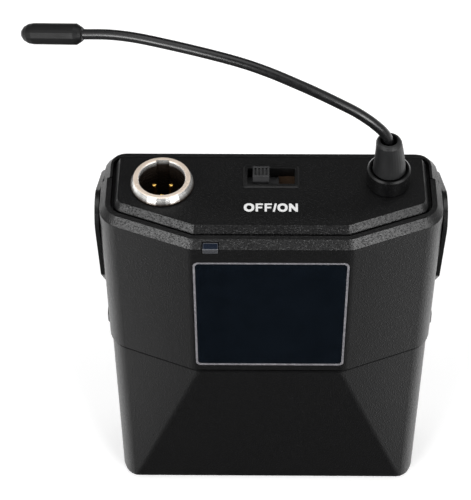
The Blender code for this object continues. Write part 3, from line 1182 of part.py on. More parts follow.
def battery_springs():
    """Two conical contact springs, each one unbroken wire."""
    springs = []
    count = TURN_STEPS * SPRING_TURNS
    start = BAY_HALF_WIDTH - GAP - CONTACT_THICKNESS - GAP - SPRING_WIRE_RADIUS
    for name, side, z in (("battery_spring_lower", -1, LOWER_CELL_Z), ("battery_spring_upper", 1, UPPER_CELL_Z)):
        points = []
        for k in range(count + 1):
            share = k / count
            turn = 2 * math.pi * k / TURN_STEPS
            radius = SPRING_BASE_RADIUS + (SPRING_TIP_RADIUS - SPRING_BASE_RADIUS) * share
            x = side * (start - SPRING_PITCH * SPRING_TURNS * share)
            points.append(Vector((x, CELL_Y + radius * math.cos(turn), z + radius * math.sin(turn))))
        gap = least_gap(points, SPRING_WIRE_RADIUS)
        print(f"{name}: least gap to itself {gap * 1000:.2f} mm")
        springs.append(tube(name, points, SPRING_WIRE_RADIUS, "nickel", 1))
    return springs


# ---------------------------------------------------------------- belt clip
def clip_lean(z):
    """How far the clip's plate stands out from its upright plane at a height: in at the grip, out at the lip."""
    above_end = z - CLIP_BOTTOM
    if above_end >= 2 * CLIP_GRIP_HEIGHT:
        return 0.0
    if above_end >= CLIP_GRIP_HEIGHT:
        share = (2 * CLIP_GRIP_HEIGHT - above_end) / CLIP_GRIP_HEIGHT
        return -CLIP_GRIP * (1 - math.cos(math.pi * share)) / 2
    share = (CLIP_GRIP_HEIGHT - above_end) / CLIP_GRIP_HEIGHT
    return -CLIP_GRIP + (CLIP_GRIP + CLIP_LIP_FLARE) * share ** 1.6


def touching_turn(point, side):
    """The turn round the clip's pivot at which a line from a point of the side view touches the ear's top."""
    reach = point - Vector((CLIP_PIVOT_Y, CLIP_PIVOT_Z))
    return math.atan2(reach.y, reach.x) + side * math.acos(CLIP_EAR_RADIUS / reach.length)


def clip_side(far):
    """The clip in side view: down from the plate's top, round the pivot, down the ear and back to the plate."""
    pivot = Vector((CLIP_PIVOT_Y, CLIP_PIVOT_Z))
    plate_top = Vector((BACK_Y + BELT_GAP + CLIP_THICKNESS, PANEL_Z - CLIP_PLATE_BELOW_PANEL))
    toe = pivot - Vector((CLIP_EAR_TOE_REACH, CLIP_EAR_TOE_DROP))
    heel = Vector((CLIP_PIVOT_Y + CLIP_EAR_HEEL_SETBACK, CLIP_SHOULDER_Z))
    start = touching_turn(plate_top, 1)
    sweep = touching_turn(toe, -1) + 2 * math.pi - start
    steps = 12
    arc = []
    for k in range(steps + 1):
        turn = start + sweep * k / steps
        arc.append(pivot + CLIP_EAR_RADIUS * Vector((math.cos(turn), math.sin(turn))))
    slope = (plate_top.y - arc[0].y) / (plate_top.x - arc[0].x)
    back = BACK_Y + GAP
    low = CLIP_BOTTOM - CUT
    points = [*arc, toe, heel, Vector((back, CLIP_SHOULDER_Z)), Vector((back, low)), Vector((far, low)),
              Vector((far, plate_top.y + slope * (far - plate_top.x)))]
    plain = len(arc)
    radii = [0] * plain + [CLIP_EAR_TOE_RADIUS, CLIP_EAR_HEEL_RADIUS, 0, 0, 0, 0]
    counts = [0] * plain + [4, 5, 0, 0, 0, 0]
    return rounded(points, radii, counts)


def belt_clip():
    """The sprung steel clip: a plate behind the pack, and an ear on each side that turns on a pivot."""
    inner_y = BACK_Y + BELT_GAP
    outer_y = inner_y + CLIP_THICKNESS
    front = CLIP_PIVOT_Y - CLIP_EAR_RADIUS - CUT
    inner_bend = CLIP_BEND_RADIUS - CLIP_THICKNESS
    corners = [
        (EAR_OUTER_X, front), (EAR_OUTER_X, outer_y), (-EAR_OUTER_X, outer_y), (-EAR_OUTER_X, front),
        (-EAR_INNER_X, front), (-EAR_INNER_X, inner_y), (EAR_INNER_X, inner_y), (EAR_INNER_X, front),
    ]
    outline = rounded(corners, [0, CLIP_BEND_RADIUS, CLIP_BEND_RADIUS, 0, 0, inner_bend, inner_bend, 0],
                      [0, 5, 5, 0, 0, 5, 5, 0])
    steps = 12
    span = 2 * CLIP_GRIP_HEIGHT
    heights = [CLIP_BOTTOM + span * k / steps for k in range(steps + 1)]
    heights.append(CLIP_PIVOT_Z + CLIP_EAR_RADIUS + CUT)
    rings = [[Vector((x, y + clip_lean(z), z)) for x, y in outline] for z in heights]
    clip = loft("belt_clip", rings, "clip_steel", smooth=True)

    top = heights[-1] + CUT
    neck = CLIP_SHOULDER_Z - CLIP_TAPER_DROP
    tongue = CLIP_TONGUE_WIDTH / 2
    wide = EAR_OUTER_X + CUT
    bend = EAR_OUTER_X - CLIP_BEND_RADIUS
    half_face = [(wide, top), (wide, CLIP_SHOULDER_Z), (bend, CLIP_SHOULDER_Z), (tongue, neck),
                 (tongue, CLIP_BOTTOM)]
    face = [(-x, z) for x, z in half_face] + half_face[::-1]
    half_radii = [0, 0, CLIP_SHOULDER_RADIUS, CLIP_NECK_RADIUS, CLIP_TONGUE_RADIUS]
    half_counts = [0, 0, 4, 4, 6]
    face_outline = rounded(face, half_radii + half_radii[::-1], half_counts + half_counts[::-1])
    far = outer_y + CLIP_LIP_FLARE + CUT
    keep_inside(clip, prism("clip_face", "XZ", face_outline, front - CUT, far),
                prism("clip_side", "YZ", clip_side(far), -wide, wide))
    cut(clip, rod("clip_pivot_holes", "X", (0, CLIP_PIVOT_Y, CLIP_PIVOT_Z), PIVOT_RADIUS + PIVOT_CLEARANCE,
                  -wide, wide))
    set_origin(clip, (0, CLIP_PIVOT_Y, CLIP_PIVOT_Z))
    return clip


def clip_pivots():
    """The two pivots that the clip turns on: a head inside the casing, and a stud that ends in a low dome."""
    inner = HALF_WIDTH - WALL - GAP
    outer = EAR_OUTER_X
    head, stud = PIVOT_HEAD_RADIUS, PIVOT_RADIUS
    pivots = []
    for side, word in ((-1, "left"), (1, "right")):
        profile = [(0, inner - CLIP_THICKNESS), (head, inner - CLIP_THICKNESS), (head, inner), (stud, inner),
                   (stud, outer), (stud * 0.85, outer + PIVOT_DOME * 0.6), (stud * 0.45, outer + PIVOT_DOME),
                   (0, outer + PIVOT_DOME)]
        placed = [(radius, side * along) for radius, along in profile]
        pivots.append(turned(f"clip_pivot_{word}", "X", (0, CLIP_PIVOT_Y, CLIP_PIVOT_Z), placed, 16, "steel"))
    return pivots


# ---------------------------------------------------------------- assembly
front_shell()
back_shell()
top_panel()
battery_door()
hinge_pin()
latch_buttons()
label_plate()
led_window()
status_led()
socket_barrel()
socket_nut()
socket_insulator()
socket_pins()
antenna_collar()
antenna_nut()
antenna_boot()
antenna_cable()
antenna_cap()
switch_knob()
switch_frame()
switch_wafer()
circuit_board()
shield_can()
screws()
battery_tray()
contact_plates()
battery_springs()
belt_clip()
clip_pivots()
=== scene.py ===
"""Looks of the body-pack transmitter: materials, printed legend, label border, fine trim, camera and light."""

import math

import bpy
import bmesh
from mathutils import Matrix, Vector

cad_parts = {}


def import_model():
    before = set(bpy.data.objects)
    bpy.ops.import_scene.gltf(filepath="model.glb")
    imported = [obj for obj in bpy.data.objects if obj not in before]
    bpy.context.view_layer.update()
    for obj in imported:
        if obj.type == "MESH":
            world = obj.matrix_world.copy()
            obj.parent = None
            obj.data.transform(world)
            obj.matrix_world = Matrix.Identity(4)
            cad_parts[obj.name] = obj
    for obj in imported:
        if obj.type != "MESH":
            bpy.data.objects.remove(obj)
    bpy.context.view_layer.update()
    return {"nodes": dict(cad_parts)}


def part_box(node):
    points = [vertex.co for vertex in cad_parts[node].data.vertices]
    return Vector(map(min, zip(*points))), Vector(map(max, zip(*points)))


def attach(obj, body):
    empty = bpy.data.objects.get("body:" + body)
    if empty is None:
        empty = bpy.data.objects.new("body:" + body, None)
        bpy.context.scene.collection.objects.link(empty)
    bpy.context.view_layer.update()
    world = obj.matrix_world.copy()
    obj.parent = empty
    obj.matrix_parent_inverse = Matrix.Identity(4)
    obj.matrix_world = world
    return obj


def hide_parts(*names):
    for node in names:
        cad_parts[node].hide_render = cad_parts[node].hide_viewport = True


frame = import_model()
NODES = frame["nodes"]
MM = 0.001


# ---------------------------------------------------------------- camera
def look_from(position, pitch, azimuth, roll, lens):
    """A camera at a place, looking down by pitch and turned by azimuth from the +Y direction."""
    camera = bpy.data.cameras.new("camera")
    camera.lens = lens
    camera.sensor_width = 36.0
    camera.clip_start = 0.01
    camera.clip_end = 20.0
    thing = bpy.data.objects.new("camera", camera)
    bpy.context.scene.collection.objects.link(thing)
    turn = (Matrix.Rotation(math.radians(azimuth), 4, "Z")
            @ Matrix.Rotation(math.radians(90 - pitch), 4, "X")
            @ Matrix.Rotation(math.radians(roll), 4, "Z"))
    thing.matrix_world = Matrix.Translation(Vector(position)) @ turn
    bpy.context.scene.camera = thing


look_from(position=(-0.00299, -0.22411, 0.31475), pitch=48.0416, azimuth=0.9665, roll=-0.4889, lens=123.59)


# ---------------------------------------------------------------- material building
class Surface:
    """A Principled material with helpers for procedural detail in object coordinates."""

    def __init__(self, name, roughness, metallic=0.0, specular=0.5, coat=0.0, coat_roughness=0.1):
        self.material = bpy.data.materials.new(name)
        self.material.use_nodes = True
        self.tree = self.material.node_tree
        self.shader = self.tree.nodes["Principled BSDF"]
        self.shader.inputs["Roughness"].default_value = roughness
        self.shader.inputs["Metallic"].default_value = metallic
        self.shader.inputs["Specular IOR Level"].default_value = specular
        self.shader.inputs["Coat Weight"].default_value = coat
        self.shader.inputs["Coat Roughness"].default_value = coat_roughness
        self.place = self.tree.nodes.new("ShaderNodeTexCoord").outputs["Object"]

    def link(self, output, target):
        self.tree.links.new(output, target)

    def stretched(self, scale):
        node = self.tree.nodes.new("ShaderNodeMapping")
        node.inputs["Scale"].default_value = scale
        self.link(self.place, node.inputs["Vector"])
        return node.outputs["Vector"]

    def noise(self, scale, detail=3.0, roughness=0.55, place=None):
        node = self.tree.nodes.new("ShaderNodeTexNoise")
        node.inputs["Scale"].default_value = scale
        node.inputs["Detail"].default_value = detail
        node.inputs["Roughness"].default_value = roughness
        self.link(place or self.place, node.inputs["Vector"])
        return node.outputs["Fac"]

    def cells(self, scale):
        node = self.tree.nodes.new("ShaderNodeTexVoronoi")
        node.inputs["Scale"].default_value = scale
        self.link(self.place, node.inputs["Vector"])
        return node.outputs["Distance"]

    def height(self):
        node = self.tree.nodes.new("ShaderNodeSeparateXYZ")
        self.link(self.place, node.inputs[0])
        return node.outputs["Z"]

    def spread(self, value, low, high, out_low, out_high):
        node = self.tree.nodes.new("ShaderNodeMapRange")
        node.inputs["From Min"].default_value = low
        node.inputs["From Max"].default_value = high
        node.inputs["To Min"].default_value = out_low
        node.inputs["To Max"].default_value = out_high
        self.link(value, node.inputs["Value"])
        return node.outputs["Result"]

    def ramp(self, value, stops):
        node = self.tree.nodes.new("ShaderNodeValToRGB")
        elements = node.color_ramp.elements
        while len(elements) < len(stops):
            elements.new(0.5)
        for element, (position, colour) in zip(elements, stops):
            element.position = position
            element.color = (*colour, 1.0)
        self.link(value, node.inputs["Fac"])
        return node.outputs["Color"]

    def mixed(self, factor, a, b):
        node = self.tree.nodes.new("ShaderNodeMix")
        node.data_type = "RGBA"
        self.link(factor, node.inputs["Factor"])
        self.link(a, node.inputs["A"])
        self.link(b, node.inputs["B"])
        return node.outputs["Result"]

    def colour(self, output):
        self.link(output, self.shader.inputs["Base Color"])

    def roughness(self, output):
        self.link(output, self.shader.inputs["Roughness"])

    def bump(self, height, distance, strength=1.0, after=None):
        node = self.tree.nodes.new("ShaderNodeBump")
        node.inputs["Distance"].default_value = distance
        node.inputs["Strength"].default_value = strength
        self.link(height, node.inputs["Height"])
        if after:
            self.link(after, node.inputs["Normal"])
        self.link(node.outputs["Normal"], self.shader.inputs["Normal"])
        return node.outputs["Normal"]


# Grain of the moulded casing: base colours, roughness, scales per metre and depths of grain and pips.
CASING_BLACK = (0.0044, 0.0044, 0.0046)
PANEL_BLACK = (0.0030, 0.0030, 0.0032)
GRAIN_ROUGHNESS = 0.36
GRAIN_SCALE = 2600.0
GRAIN_DEPTH = 0.00004
PIP_SCALE = 2900.0
PIP_DEPTH = 0.000028

# Depth of the turning marks in plated metal.
SCRATCH_DEPTH = 0.000004

# Depths below a top edge between which a look changes: the door's dull band of painted seam shade, the
# socket's bore of painted shade and the flank under its flat rim, and the zones of the light window with
# its painted highlight lines.
SEAM_SHADE_FROM, SEAM_SHADE_TO = 0.80 * MM, 0.50 * MM
BORE_FROM, BORE_TO = 1.3 * MM, 0.5 * MM
FLANK_FROM, FLANK_TO = 0.16 * MM, 0.04 * MM
WINDOW_ZONES = 1.5 * MM


def tones(base, share):
    """Two shades round a base colour."""
    return [(0.3, tuple(c * (1 - share) for c in base)), (0.7, tuple(c * (1 + share) for c in base))]


def moulded(name, base, roughness, grain, depth, specular=0.5, pips=0.0, lip=0.0):
    """Moulded black plastic with a spark-eroded grain, raised pips where it is coarse and, given a lip height,
    painted shade: a dull band of low specular under the top edge that stands in for the seam's shadow.
    """
    s = Surface(name, roughness, specular=specular)
    s.colour(s.ramp(s.noise(900.0), tones(base, 0.12)))
    fine = s.noise(grain, 2.0, 0.6)
    s.roughness(s.spread(fine, 0.3, 0.7, roughness + 0.07, roughness - 0.07))
    first = s.bump(s.noise(450.0, 2.0), 0.00002, 0.25)
    second = s.bump(fine, depth, 1.0, first)
    # Painted shade: specular fades out in a band under the top edge, so the seam reads as a dark line.
    if lip:
        painted_seam_shade = s.spread(s.height(), lip - SEAM_SHADE_FROM, lip - SEAM_SHADE_TO, specular, 0.02)
        s.link(painted_seam_shade, s.shader.inputs["Specular IOR Level"])
    if pips:
        s.bump(s.spread(s.cells(PIP_SCALE), 0.08, 0.45, 1.0, 0.0), pips, 1.0, second)
    return s.material


def grained(name, base, specular, lip=0.0):
    """The coarse grain that the covers, the door and the end panel share."""
    return moulded(name, base, GRAIN_ROUGHNESS, GRAIN_SCALE, GRAIN_DEPTH, specular, pips=PIP_DEPTH, lip=lip)


def rubbery(name, base, roughness, specular=0.45):
    """Soft moulded rubber with a slight bloom and a very fine tooth."""
    s = Surface(name, roughness, specular=specular)
    s.colour(s.ramp(s.noise(1200.0, 4.0), tones(base, 0.18)))
    s.roughness(s.spread(s.noise(700.0, 3.0), 0.3, 0.7, roughness - 0.06, roughness + 0.06))
    s.bump(s.noise(9000.0, 2.0), 0.000012, 0.7)
    return s.material


def plated(name, base, roughness, axis_scale):
    """Plated metal with fine turning marks."""
    s = Surface(name, roughness, metallic=1.0)
    s.colour(s.ramp(s.noise(600.0, 3.0), tones(base, 0.08)))
    marks = s.noise(1.0, 3.0, 0.6, s.stretched(axis_scale))
    s.roughness(s.spread(marks, 0.3, 0.7, roughness - 0.06, roughness + 0.08))
    s.bump(marks, SCRATCH_DEPTH, 0.8)
    return s.material


def rim_metal(thing):
    """Nickel of the socket: painted warm reflection on the flat rim, bright flank, dull painted shade in the
    bore.
    """
    s = Surface("nickel_rim", 0.24, metallic=0.60)
    # Painted reflection: the flat rim is tinted warm cream and given less metal, as if it mirrored the light.
    painted_warm_rim_reflection = s.ramp(s.noise(600.0, 3.0), tones((0.88, 0.75, 0.63), 0.06))
    bright = s.ramp(s.noise(900.0, 3.0), tones((0.86, 0.85, 0.83), 0.08))
    height = s.height()
    top = max(vertex.co.z for vertex in thing.data.vertices)
    depth = s.spread(height, top - BORE_FROM, top - BORE_TO, 0.0, 1.0)
    # Painted shade: the bore below the rim is coloured dark and dull.
    painted_bore_shade = s.ramp(s.noise(800.0, 2.0), tones((0.06, 0.045, 0.035), 0.2))
    flat = s.spread(height, top - FLANK_FROM, top - FLANK_TO, 0.0, 1.0)
    s.colour(s.mixed(depth, painted_bore_shade, s.mixed(flat, bright, painted_warm_rim_reflection)))
    s.link(s.spread(flat, 0.0, 1.0, 0.75, 0.25), s.shader.inputs["Metallic"])
    marks = s.noise(1.0, 3.0, 0.6, s.stretched((500.0, 500.0, 9000.0)))
    s.roughness(s.spread(marks, 0.3, 0.7, 0.16, 0.30))
    s.bump(marks, SCRATCH_DEPTH, 0.8)
    return s.material


def laminate():
    """Brown phenolic laminate with fine fibres."""
    s = Surface("switch_laminate", 0.6)
    fibres = s.noise(1.0, 4.0, 0.6, s.stretched((900.0, 9000.0, 900.0)))
    s.colour(s.ramp(fibres, [(0.25, (0.16, 0.085, 0.04)), (0.75, (0.36, 0.21, 0.11))]))
    s.bump(fibres, 0.00001, 0.6)
    return s.material


def solder_mask():
    """Green mask of the circuit board over faint traces."""
    s = Surface("board_mask", 0.35, coat=0.4)
    traces = s.cells(500.0)
    s.colour(s.ramp(traces, [(0.2, (0.010, 0.12, 0.055)), (0.32, (0.006, 0.075, 0.035))]))
    s.bump(traces, 0.00002, 0.3)
    return s.material


def label_film():
    """Glossy near-black film with a blue cast, faint specks and a slight ripple."""
    s = Surface("label_film", 0.16, specular=0.35, coat=0.15, coat_roughness=0.06)
    s.colour(s.ramp(s.noise(250.0, 2.0), [(0.3, (0.0014, 0.0026, 0.0044)), (0.7, (0.0022, 0.0038, 0.0062))]))
    s.roughness(s.spread(s.noise(2500.0, 3.0), 0.35, 0.75, 0.13, 0.24))
    s.bump(s.noise(160.0, 1.0), 0.00002, 0.25)
    return s.material


def window_plastic():
    """Smoky clear plastic of the light window: pale in front, a painted highlight line at its edge, dark blue
    on the sloped top, and a painted highlight along the top's back edge.
    """
    s = Surface("window_smoke", 0.14, coat=0.3, coat_roughness=0.05)
    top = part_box("led_window")[1][2]
    rise = s.spread(s.height(), top - WINDOW_ZONES, top, 0.0, 1.0)
    # Painted highlights: the bright stops at the edge and at the very top are light lines painted into the
    # colour.
    zones_with_painted_highlights = [(0.0, (0.036, 0.037, 0.041)), (0.47, (0.040, 0.041, 0.045)), (0.51, (0.14, 0.145, 0.155)),
             (0.57, (0.009, 0.013, 0.022)), (0.92, (0.007, 0.010, 0.018)), (1.0, (0.10, 0.105, 0.115))]
    s.colour(s.ramp(rise, zones_with_painted_highlights))
    s.roughness(s.spread(s.noise(1800.0, 2.0), 0.3, 0.7, 0.10, 0.22))
    s.bump(s.noise(900.0, 1.0), 0.00001, 0.3)
    return s.material


def ink(name, base):
    """Printed ink with a fine tooth."""
    s = Surface(name, 0.45)
    s.colour(s.ramp(s.noise(3000.0, 2.0), tones(base, 0.04)))
    s.bump(s.noise(8000.0, 2.0), 0.000004, 0.5)
    return s.material


LOOKS = {
    "casing": grained("casing_grain", CASING_BLACK, 0.42),
    # The door's material carries the painted seam shade along its top edge.
    "door": grained("door_grain_and_painted_seam_shade", CASING_BLACK, 0.42, lip=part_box("battery_door")[1][2]),
    "panel": grained("panel_grain", PANEL_BLACK, 0.34),
    "inside": moulded("inside_plain", (0.011, 0.011, 0.0115), 0.55, 5000.0, 0.00002, 0.4),
    "knob": moulded("knob_fine", (0.030, 0.030, 0.031), 0.42, 9000.0, 0.00002),
    "collar": rubbery("collar_satin", (0.0032, 0.0032, 0.0034), 0.24, 0.5),
    "boot": rubbery("boot_matte", (0.0072, 0.0074, 0.0078), 0.50),
    "wire": rubbery("wire_gloss", (0.0052, 0.0052, 0.0056), 0.27, 0.50),
    "cap": rubbery("cap_gloss", (0.0045, 0.0045, 0.0048), 0.42, 0.26),
    "clip": moulded("clip_paint", (0.010, 0.0105, 0.0105), 0.30, 5000.0, 0.00002, 0.5),
    "pivot": plated("pivot_black", (0.055, 0.055, 0.058), 0.22, (2500.0, 600.0, 600.0)),
    "label": label_film(),
    "window": window_plastic(),
    "nickel": plated("nickel_turned", (0.80, 0.76, 0.71), 0.20, (500.0, 500.0, 9000.0)),
    "socket": rim_metal(NODES["socket_barrel"]),
    "gold": plated("gold_turned", (0.95, 0.60, 0.16), 0.18, (600.0, 600.0, 4000.0)),
    "insulator": moulded("insulator_brown", (0.0060, 0.0042, 0.0036), 0.50, 3000.0, 0.00001),
    "switch_metal": plated("switch_plate", (0.42, 0.42, 0.43), 0.32, (3000.0, 400.0, 400.0)),
    "laminate": laminate(),
    "board": solder_mask(),
    "tin": plated("tin_plate", (0.62, 0.62, 0.61), 0.30, (3000.0, 500.0, 500.0)),
    "steel": plated("screw_steel", (0.11, 0.11, 0.115), 0.30, (900.0, 900.0, 900.0)),
    "spring": plated("contact_nickel", (0.66, 0.64, 0.60), 0.26, (1500.0, 1500.0, 1500.0)),
}

WEAR = {
    "front_shell": "casing", "back_shell": "casing", "battery_door": "door",
    "latch_button_left": "casing", "latch_button_right": "casing",
    "top_panel": "panel", "switch_knob": "knob", "battery_tray": "inside",
    "antenna_collar": "collar", "antenna_boot": "boot", "antenna_cap": "cap", "antenna_cable": "wire",
    "belt_clip": "clip", "clip_pivot_left": "pivot", "clip_pivot_right": "pivot",
    "label_plate": "label", "led_window": "window", "status_led": "window",
    "socket_barrel": "socket", "socket_nut": "nickel", "antenna_nut": "nickel",
    "socket_pin_1": "gold", "socket_pin_2": "gold", "socket_pin_3": "gold",
    "socket_insulator": "insulator", "switch_frame": "switch_metal", "switch_wafer": "laminate",
    "circuit_board": "board", "shield_can": "tin", "hinge_pin": "steel",
    "board_screw_left": "steel", "board_screw_right": "steel",
    "case_screw_1": "steel", "case_screw_2": "steel", "case_screw_3": "steel", "case_screw_4": "steel",
    "contact_plate_upper": "spring", "contact_plate_lower": "spring", "contact_bridge": "spring",
    "battery_spring_upper": "spring", "battery_spring_lower": "spring",
}

# Edge softening of moulded and bent pieces: (width in mm, least angle in degrees).
EDGES = {
    "front_shell": (0.18, 28), "back_shell": (0.18, 28), "battery_door": (0.18, 28), "top_panel": (0.16, 28),
    "belt_clip": (0.22, 40), "switch_knob": (0.08, 40), "antenna_collar": (0.14, 50),
    "label_plate": (0.08, 60), "led_window": (0.14, 50), "battery_tray": (0.25, 50),
}

# Faces that meet at less than this angle, in degrees, are shaded as one round surface.
SMOOTH_UNDER = 24.0


def rounded_shading():
    """A modifier group that shades faces smooth across every edge under the smoothing angle."""
    group = bpy.data.node_groups.new("rounded_shading", "GeometryNodeTree")
    group.interface.new_socket("Geometry", in_out="INPUT", socket_type="NodeSocketGeometry")
    group.interface.new_socket("Geometry", in_out="OUTPUT", socket_type="NodeSocketGeometry")
    nodes, links = group.nodes, group.links
    edge = nodes.new("GeometryNodeInputMeshEdgeAngle")
    under = nodes.new("FunctionNodeCompare")
    under.operation = "LESS_THAN"
    under.inputs["B"].default_value = math.radians(SMOOTH_UNDER)
    links.new(edge.outputs["Unsigned Angle"], under.inputs["A"])
    faces = nodes.new("GeometryNodeSetShadeSmooth")
    faces.domain = "FACE"
    edges = nodes.new("GeometryNodeSetShadeSmooth")
    edges.domain = "EDGE"
    links.new(nodes.new("NodeGroupInput").outputs[0], faces.inputs["Geometry"])
    links.new(faces.outputs["Geometry"], edges.inputs["Geometry"])
    links.new(under.outputs["Result"], edges.inputs["Shade Smooth"])
    links.new(edges.outputs["Geometry"], nodes.new("NodeGroupOutput").inputs[0])
    return group


ROUNDED = rounded_shading()


def soften(thing, width, angle):
    """Welds, shades and bevels a piece by modifiers."""
    weld = thing.modifiers.new("weld", "WELD")
    weld.merge_threshold = 1e-6
    shading = thing.modifiers.new("shading", "NODES")
    shading.node_group = ROUNDED
    bevel = thing.modifiers.new("edges", "BEVEL")
    bevel.width = width * MM
    bevel.segments = 2
    bevel.limit_method = "ANGLE"
    bevel.angle_limit = math.radians(angle)
    bevel.harden_normals = True
    bevel.use_clamp_overlap = True


for name, thing in NODES.items():
    look = LOOKS[WEAR[name]]
    for slot in thing.material_slots:
        slot.material = look
    if name in EDGES:
        soften(thing, *EDGES[name])


# ---------------------------------------------------------------- small pieces the solids don't have
def new_piece(name, vertices, faces, look, body="casing"):
    """A piece from points and faces, riding on a body."""
    mesh = bpy.data.meshes.new(name)
    mesh.from_pydata([tuple(v) for v in vertices], [], faces)
    work = bmesh.new()
    work.from_mesh(mesh)
    bmesh.ops.recalc_face_normals(work, faces=work.faces)
    work.to_mesh(mesh)
    work.free()
    mesh.materials.append(look)
    thing = bpy.data.objects.new(name, mesh)
    bpy.context.scene.collection.objects.link(thing)
    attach(thing, body)


def band(outer, inner, place, low, high):
    """Vertices and faces of a closed ring between two outlines, from low to high along the normal."""
    count = len(outer)
    vertices = [place(a, b, along) for along in (low, high) for ring in (outer, inner) for a, b in ring]
    faces = []
    for i in range(count):
        j = (i + 1) % count
        lo, li, ho, hi = i, count + i, 2 * count + i, 3 * count + i
        lo2, li2, ho2, hi2 = j, count + j, 2 * count + j, 3 * count + j
        faces += [[lo, lo2, li2, li], [ho, ho2, hi2, hi], [lo, lo2, ho2, ho], [li, li2, hi2, hi]]
    return vertices, faces


def slab(outline, place, low, high):
    """Vertices and faces of an outline extruded from low to high along the normal."""
    count = len(outline)
    vertices = [place(a, b, along) for along in (low, high) for a, b in outline]
    faces = [list(range(count)), list(range(count, 2 * count))]
    for i in range(count):
        j = (i + 1) % count
        faces.append([i, j, count + j, count + i])
    return vertices, faces


def soft_rectangle(low_x, high_x, low_z, high_z, radius):
    """A rectangle's outline with round corners."""
    steps = 6
    outline = []
    corners = [(high_x - radius, high_z - radius, 0), (low_x + radius, high_z - radius, 90),
               (low_x + radius, low_z + radius, 180), (high_x - radius, low_z + radius, 270)]
    for x, z, start in corners:
        for k in range(steps + 1):
            turn = math.radians(start + 90 * k / steps)
            outline.append((x + radius * math.cos(turn), z + radius * math.sin(turn)))
    return outline


# The label's border: width, extra width at the foot, radii, and how far it stands proud and sinks in.
BORDER_WIDTH = 0.40 * MM
BORDER_FOOT = 1.3
BORDER_RADIUS = 1.0 * MM
BORDER_INNER_RADIUS = 0.75 * MM
BORDER_PROUD = 0.02 * MM
BORDER_SUNK = 0.06 * MM

# The switch's legend: the socket's ring above the panel, and the print's depth and height at its face.
SOCKET_RING_HEIGHT = 1.7 * MM
PRINT_SUNK = 0.02 * MM
PRINT_PROUD = 0.02 * MM

# The antenna wire: its radius, the boot's mouth in mm, and the points of the curve per leg of its route.
WIRE_RADIUS = 0.96 * MM
WIRE_MOUTH = Vector((21.24, -0.75, 96.375))
SPLINE_STEPS = 6


def label_border():
    """The pale printed line round the label's edge."""
    low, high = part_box("label_plate")
    outer = soft_rectangle(low[0], high[0], low[2], high[2], BORDER_RADIUS)
    inner = soft_rectangle(low[0] + BORDER_WIDTH, high[0] - BORDER_WIDTH, low[2] + BORDER_WIDTH * BORDER_FOOT,
                           high[2] - BORDER_WIDTH, BORDER_INNER_RADIUS)
    vertices, faces = band(outer, inner, lambda a, b, y: (a, y, b), low[1] - BORDER_PROUD, low[1] + BORDER_SUNK)
    s = Surface("label_silver", 0.38, metallic=0.55)
    s.colour(s.ramp(s.noise(1500.0, 3.0), [(0.3, (0.17, 0.165, 0.18)), (0.7, (0.36, 0.35, 0.37))]))
    s.roughness(s.spread(s.noise(4000.0, 2.0), 0.3, 0.7, 0.32, 0.5))
    new_piece("label_border", vertices, faces, s.material)


def round_letter(x0, x1, y0, y1, hole_x, hole_y):
    """A full round O as two outlines."""
    steps = 40
    cx, cy = (x0 + x1) / 2, (y0 + y1) / 2
    rings = []
    for half_x, half_y in (((x1 - x0) / 2, (y1 - y0) / 2), (hole_x / 2, hole_y / 2)):
        ring = []
        for k in range(steps):
            turn = 2 * math.pi * k / steps
            c, s = math.cos(turn), math.sin(turn)
            ring.append((cx + half_x * math.copysign(abs(c) ** 0.9, c),
                         cy + half_y * math.copysign(abs(s) ** 0.9, s)))
        rings.append(ring)
    return rings


def legend():
    """OFF/ON in bold wide capitals on the end panel."""
    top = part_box("socket_barrel")[1][2] - SOCKET_RING_HEIGHT
    low, high = top - PRINT_SUNK, top + PRINT_PROUD
    # All measures of the letters are in mm, on the panel.
    left, bottom, tall, stroke = -5.05, -8.42, 2.02, 0.42
    pieces = []

    def place(a, b, along):
        return (a * MM, b * MM, along)

    def letter_f(x0, x1):
        b, t = bottom, bottom + tall
        middle = b + tall * 0.50
        return [(x0, b), (x0 + stroke, b), (x0 + stroke, middle - stroke * 0.45),
                (x1 - 0.12, middle - stroke * 0.45),
                (x1 - 0.12, middle + stroke * 0.45), (x0 + stroke, middle + stroke * 0.45),
                (x0 + stroke, t - stroke * 0.92), (x1, t - stroke * 0.92), (x1, t), (x0, t)]

    def letter_n(x0, x1):
        b, t = bottom, bottom + tall
        return [(x0, b), (x0 + stroke, b), (x0 + stroke, t - 0.95), (x1 - stroke, b), (x1, b), (x1, t),
                (x1 - stroke, t), (x1 - stroke, b + 0.95), (x0 + stroke, t), (x0, t)]

    for x0, x1 in ((left, left + 1.93), (left + 6.17, left + 8.06)):
        outer, inner = round_letter(x0, x1, bottom - 0.04, bottom + tall + 0.04, 0.92, 1.10)
        pieces.append(band(outer, inner, place, low, high))
    for x0, x1 in ((left + 2.18, left + 3.51), (left + 3.82, left + 5.17)):
        pieces.append(slab(letter_f(x0, x1), place, low, high))
    slash = [(left + 5.31, bottom - 0.02), (left + 5.70, bottom - 0.02), (left + 6.08, bottom + tall + 0.02),
             (left + 5.69, bottom + tall + 0.02)]
    pieces.append(slab(slash, place, low, high))
    pieces.append(slab(letter_n(left + 8.29, left + 9.93), place, low, high))
    vertices, faces = [], []
    for points, polygons in pieces:
        start = len(vertices)
        vertices += points
        faces += [[start + i for i in polygon] for polygon in polygons]
    new_piece("switch_legend", vertices, faces, ink("legend_white", (0.86, 0.86, 0.86)))


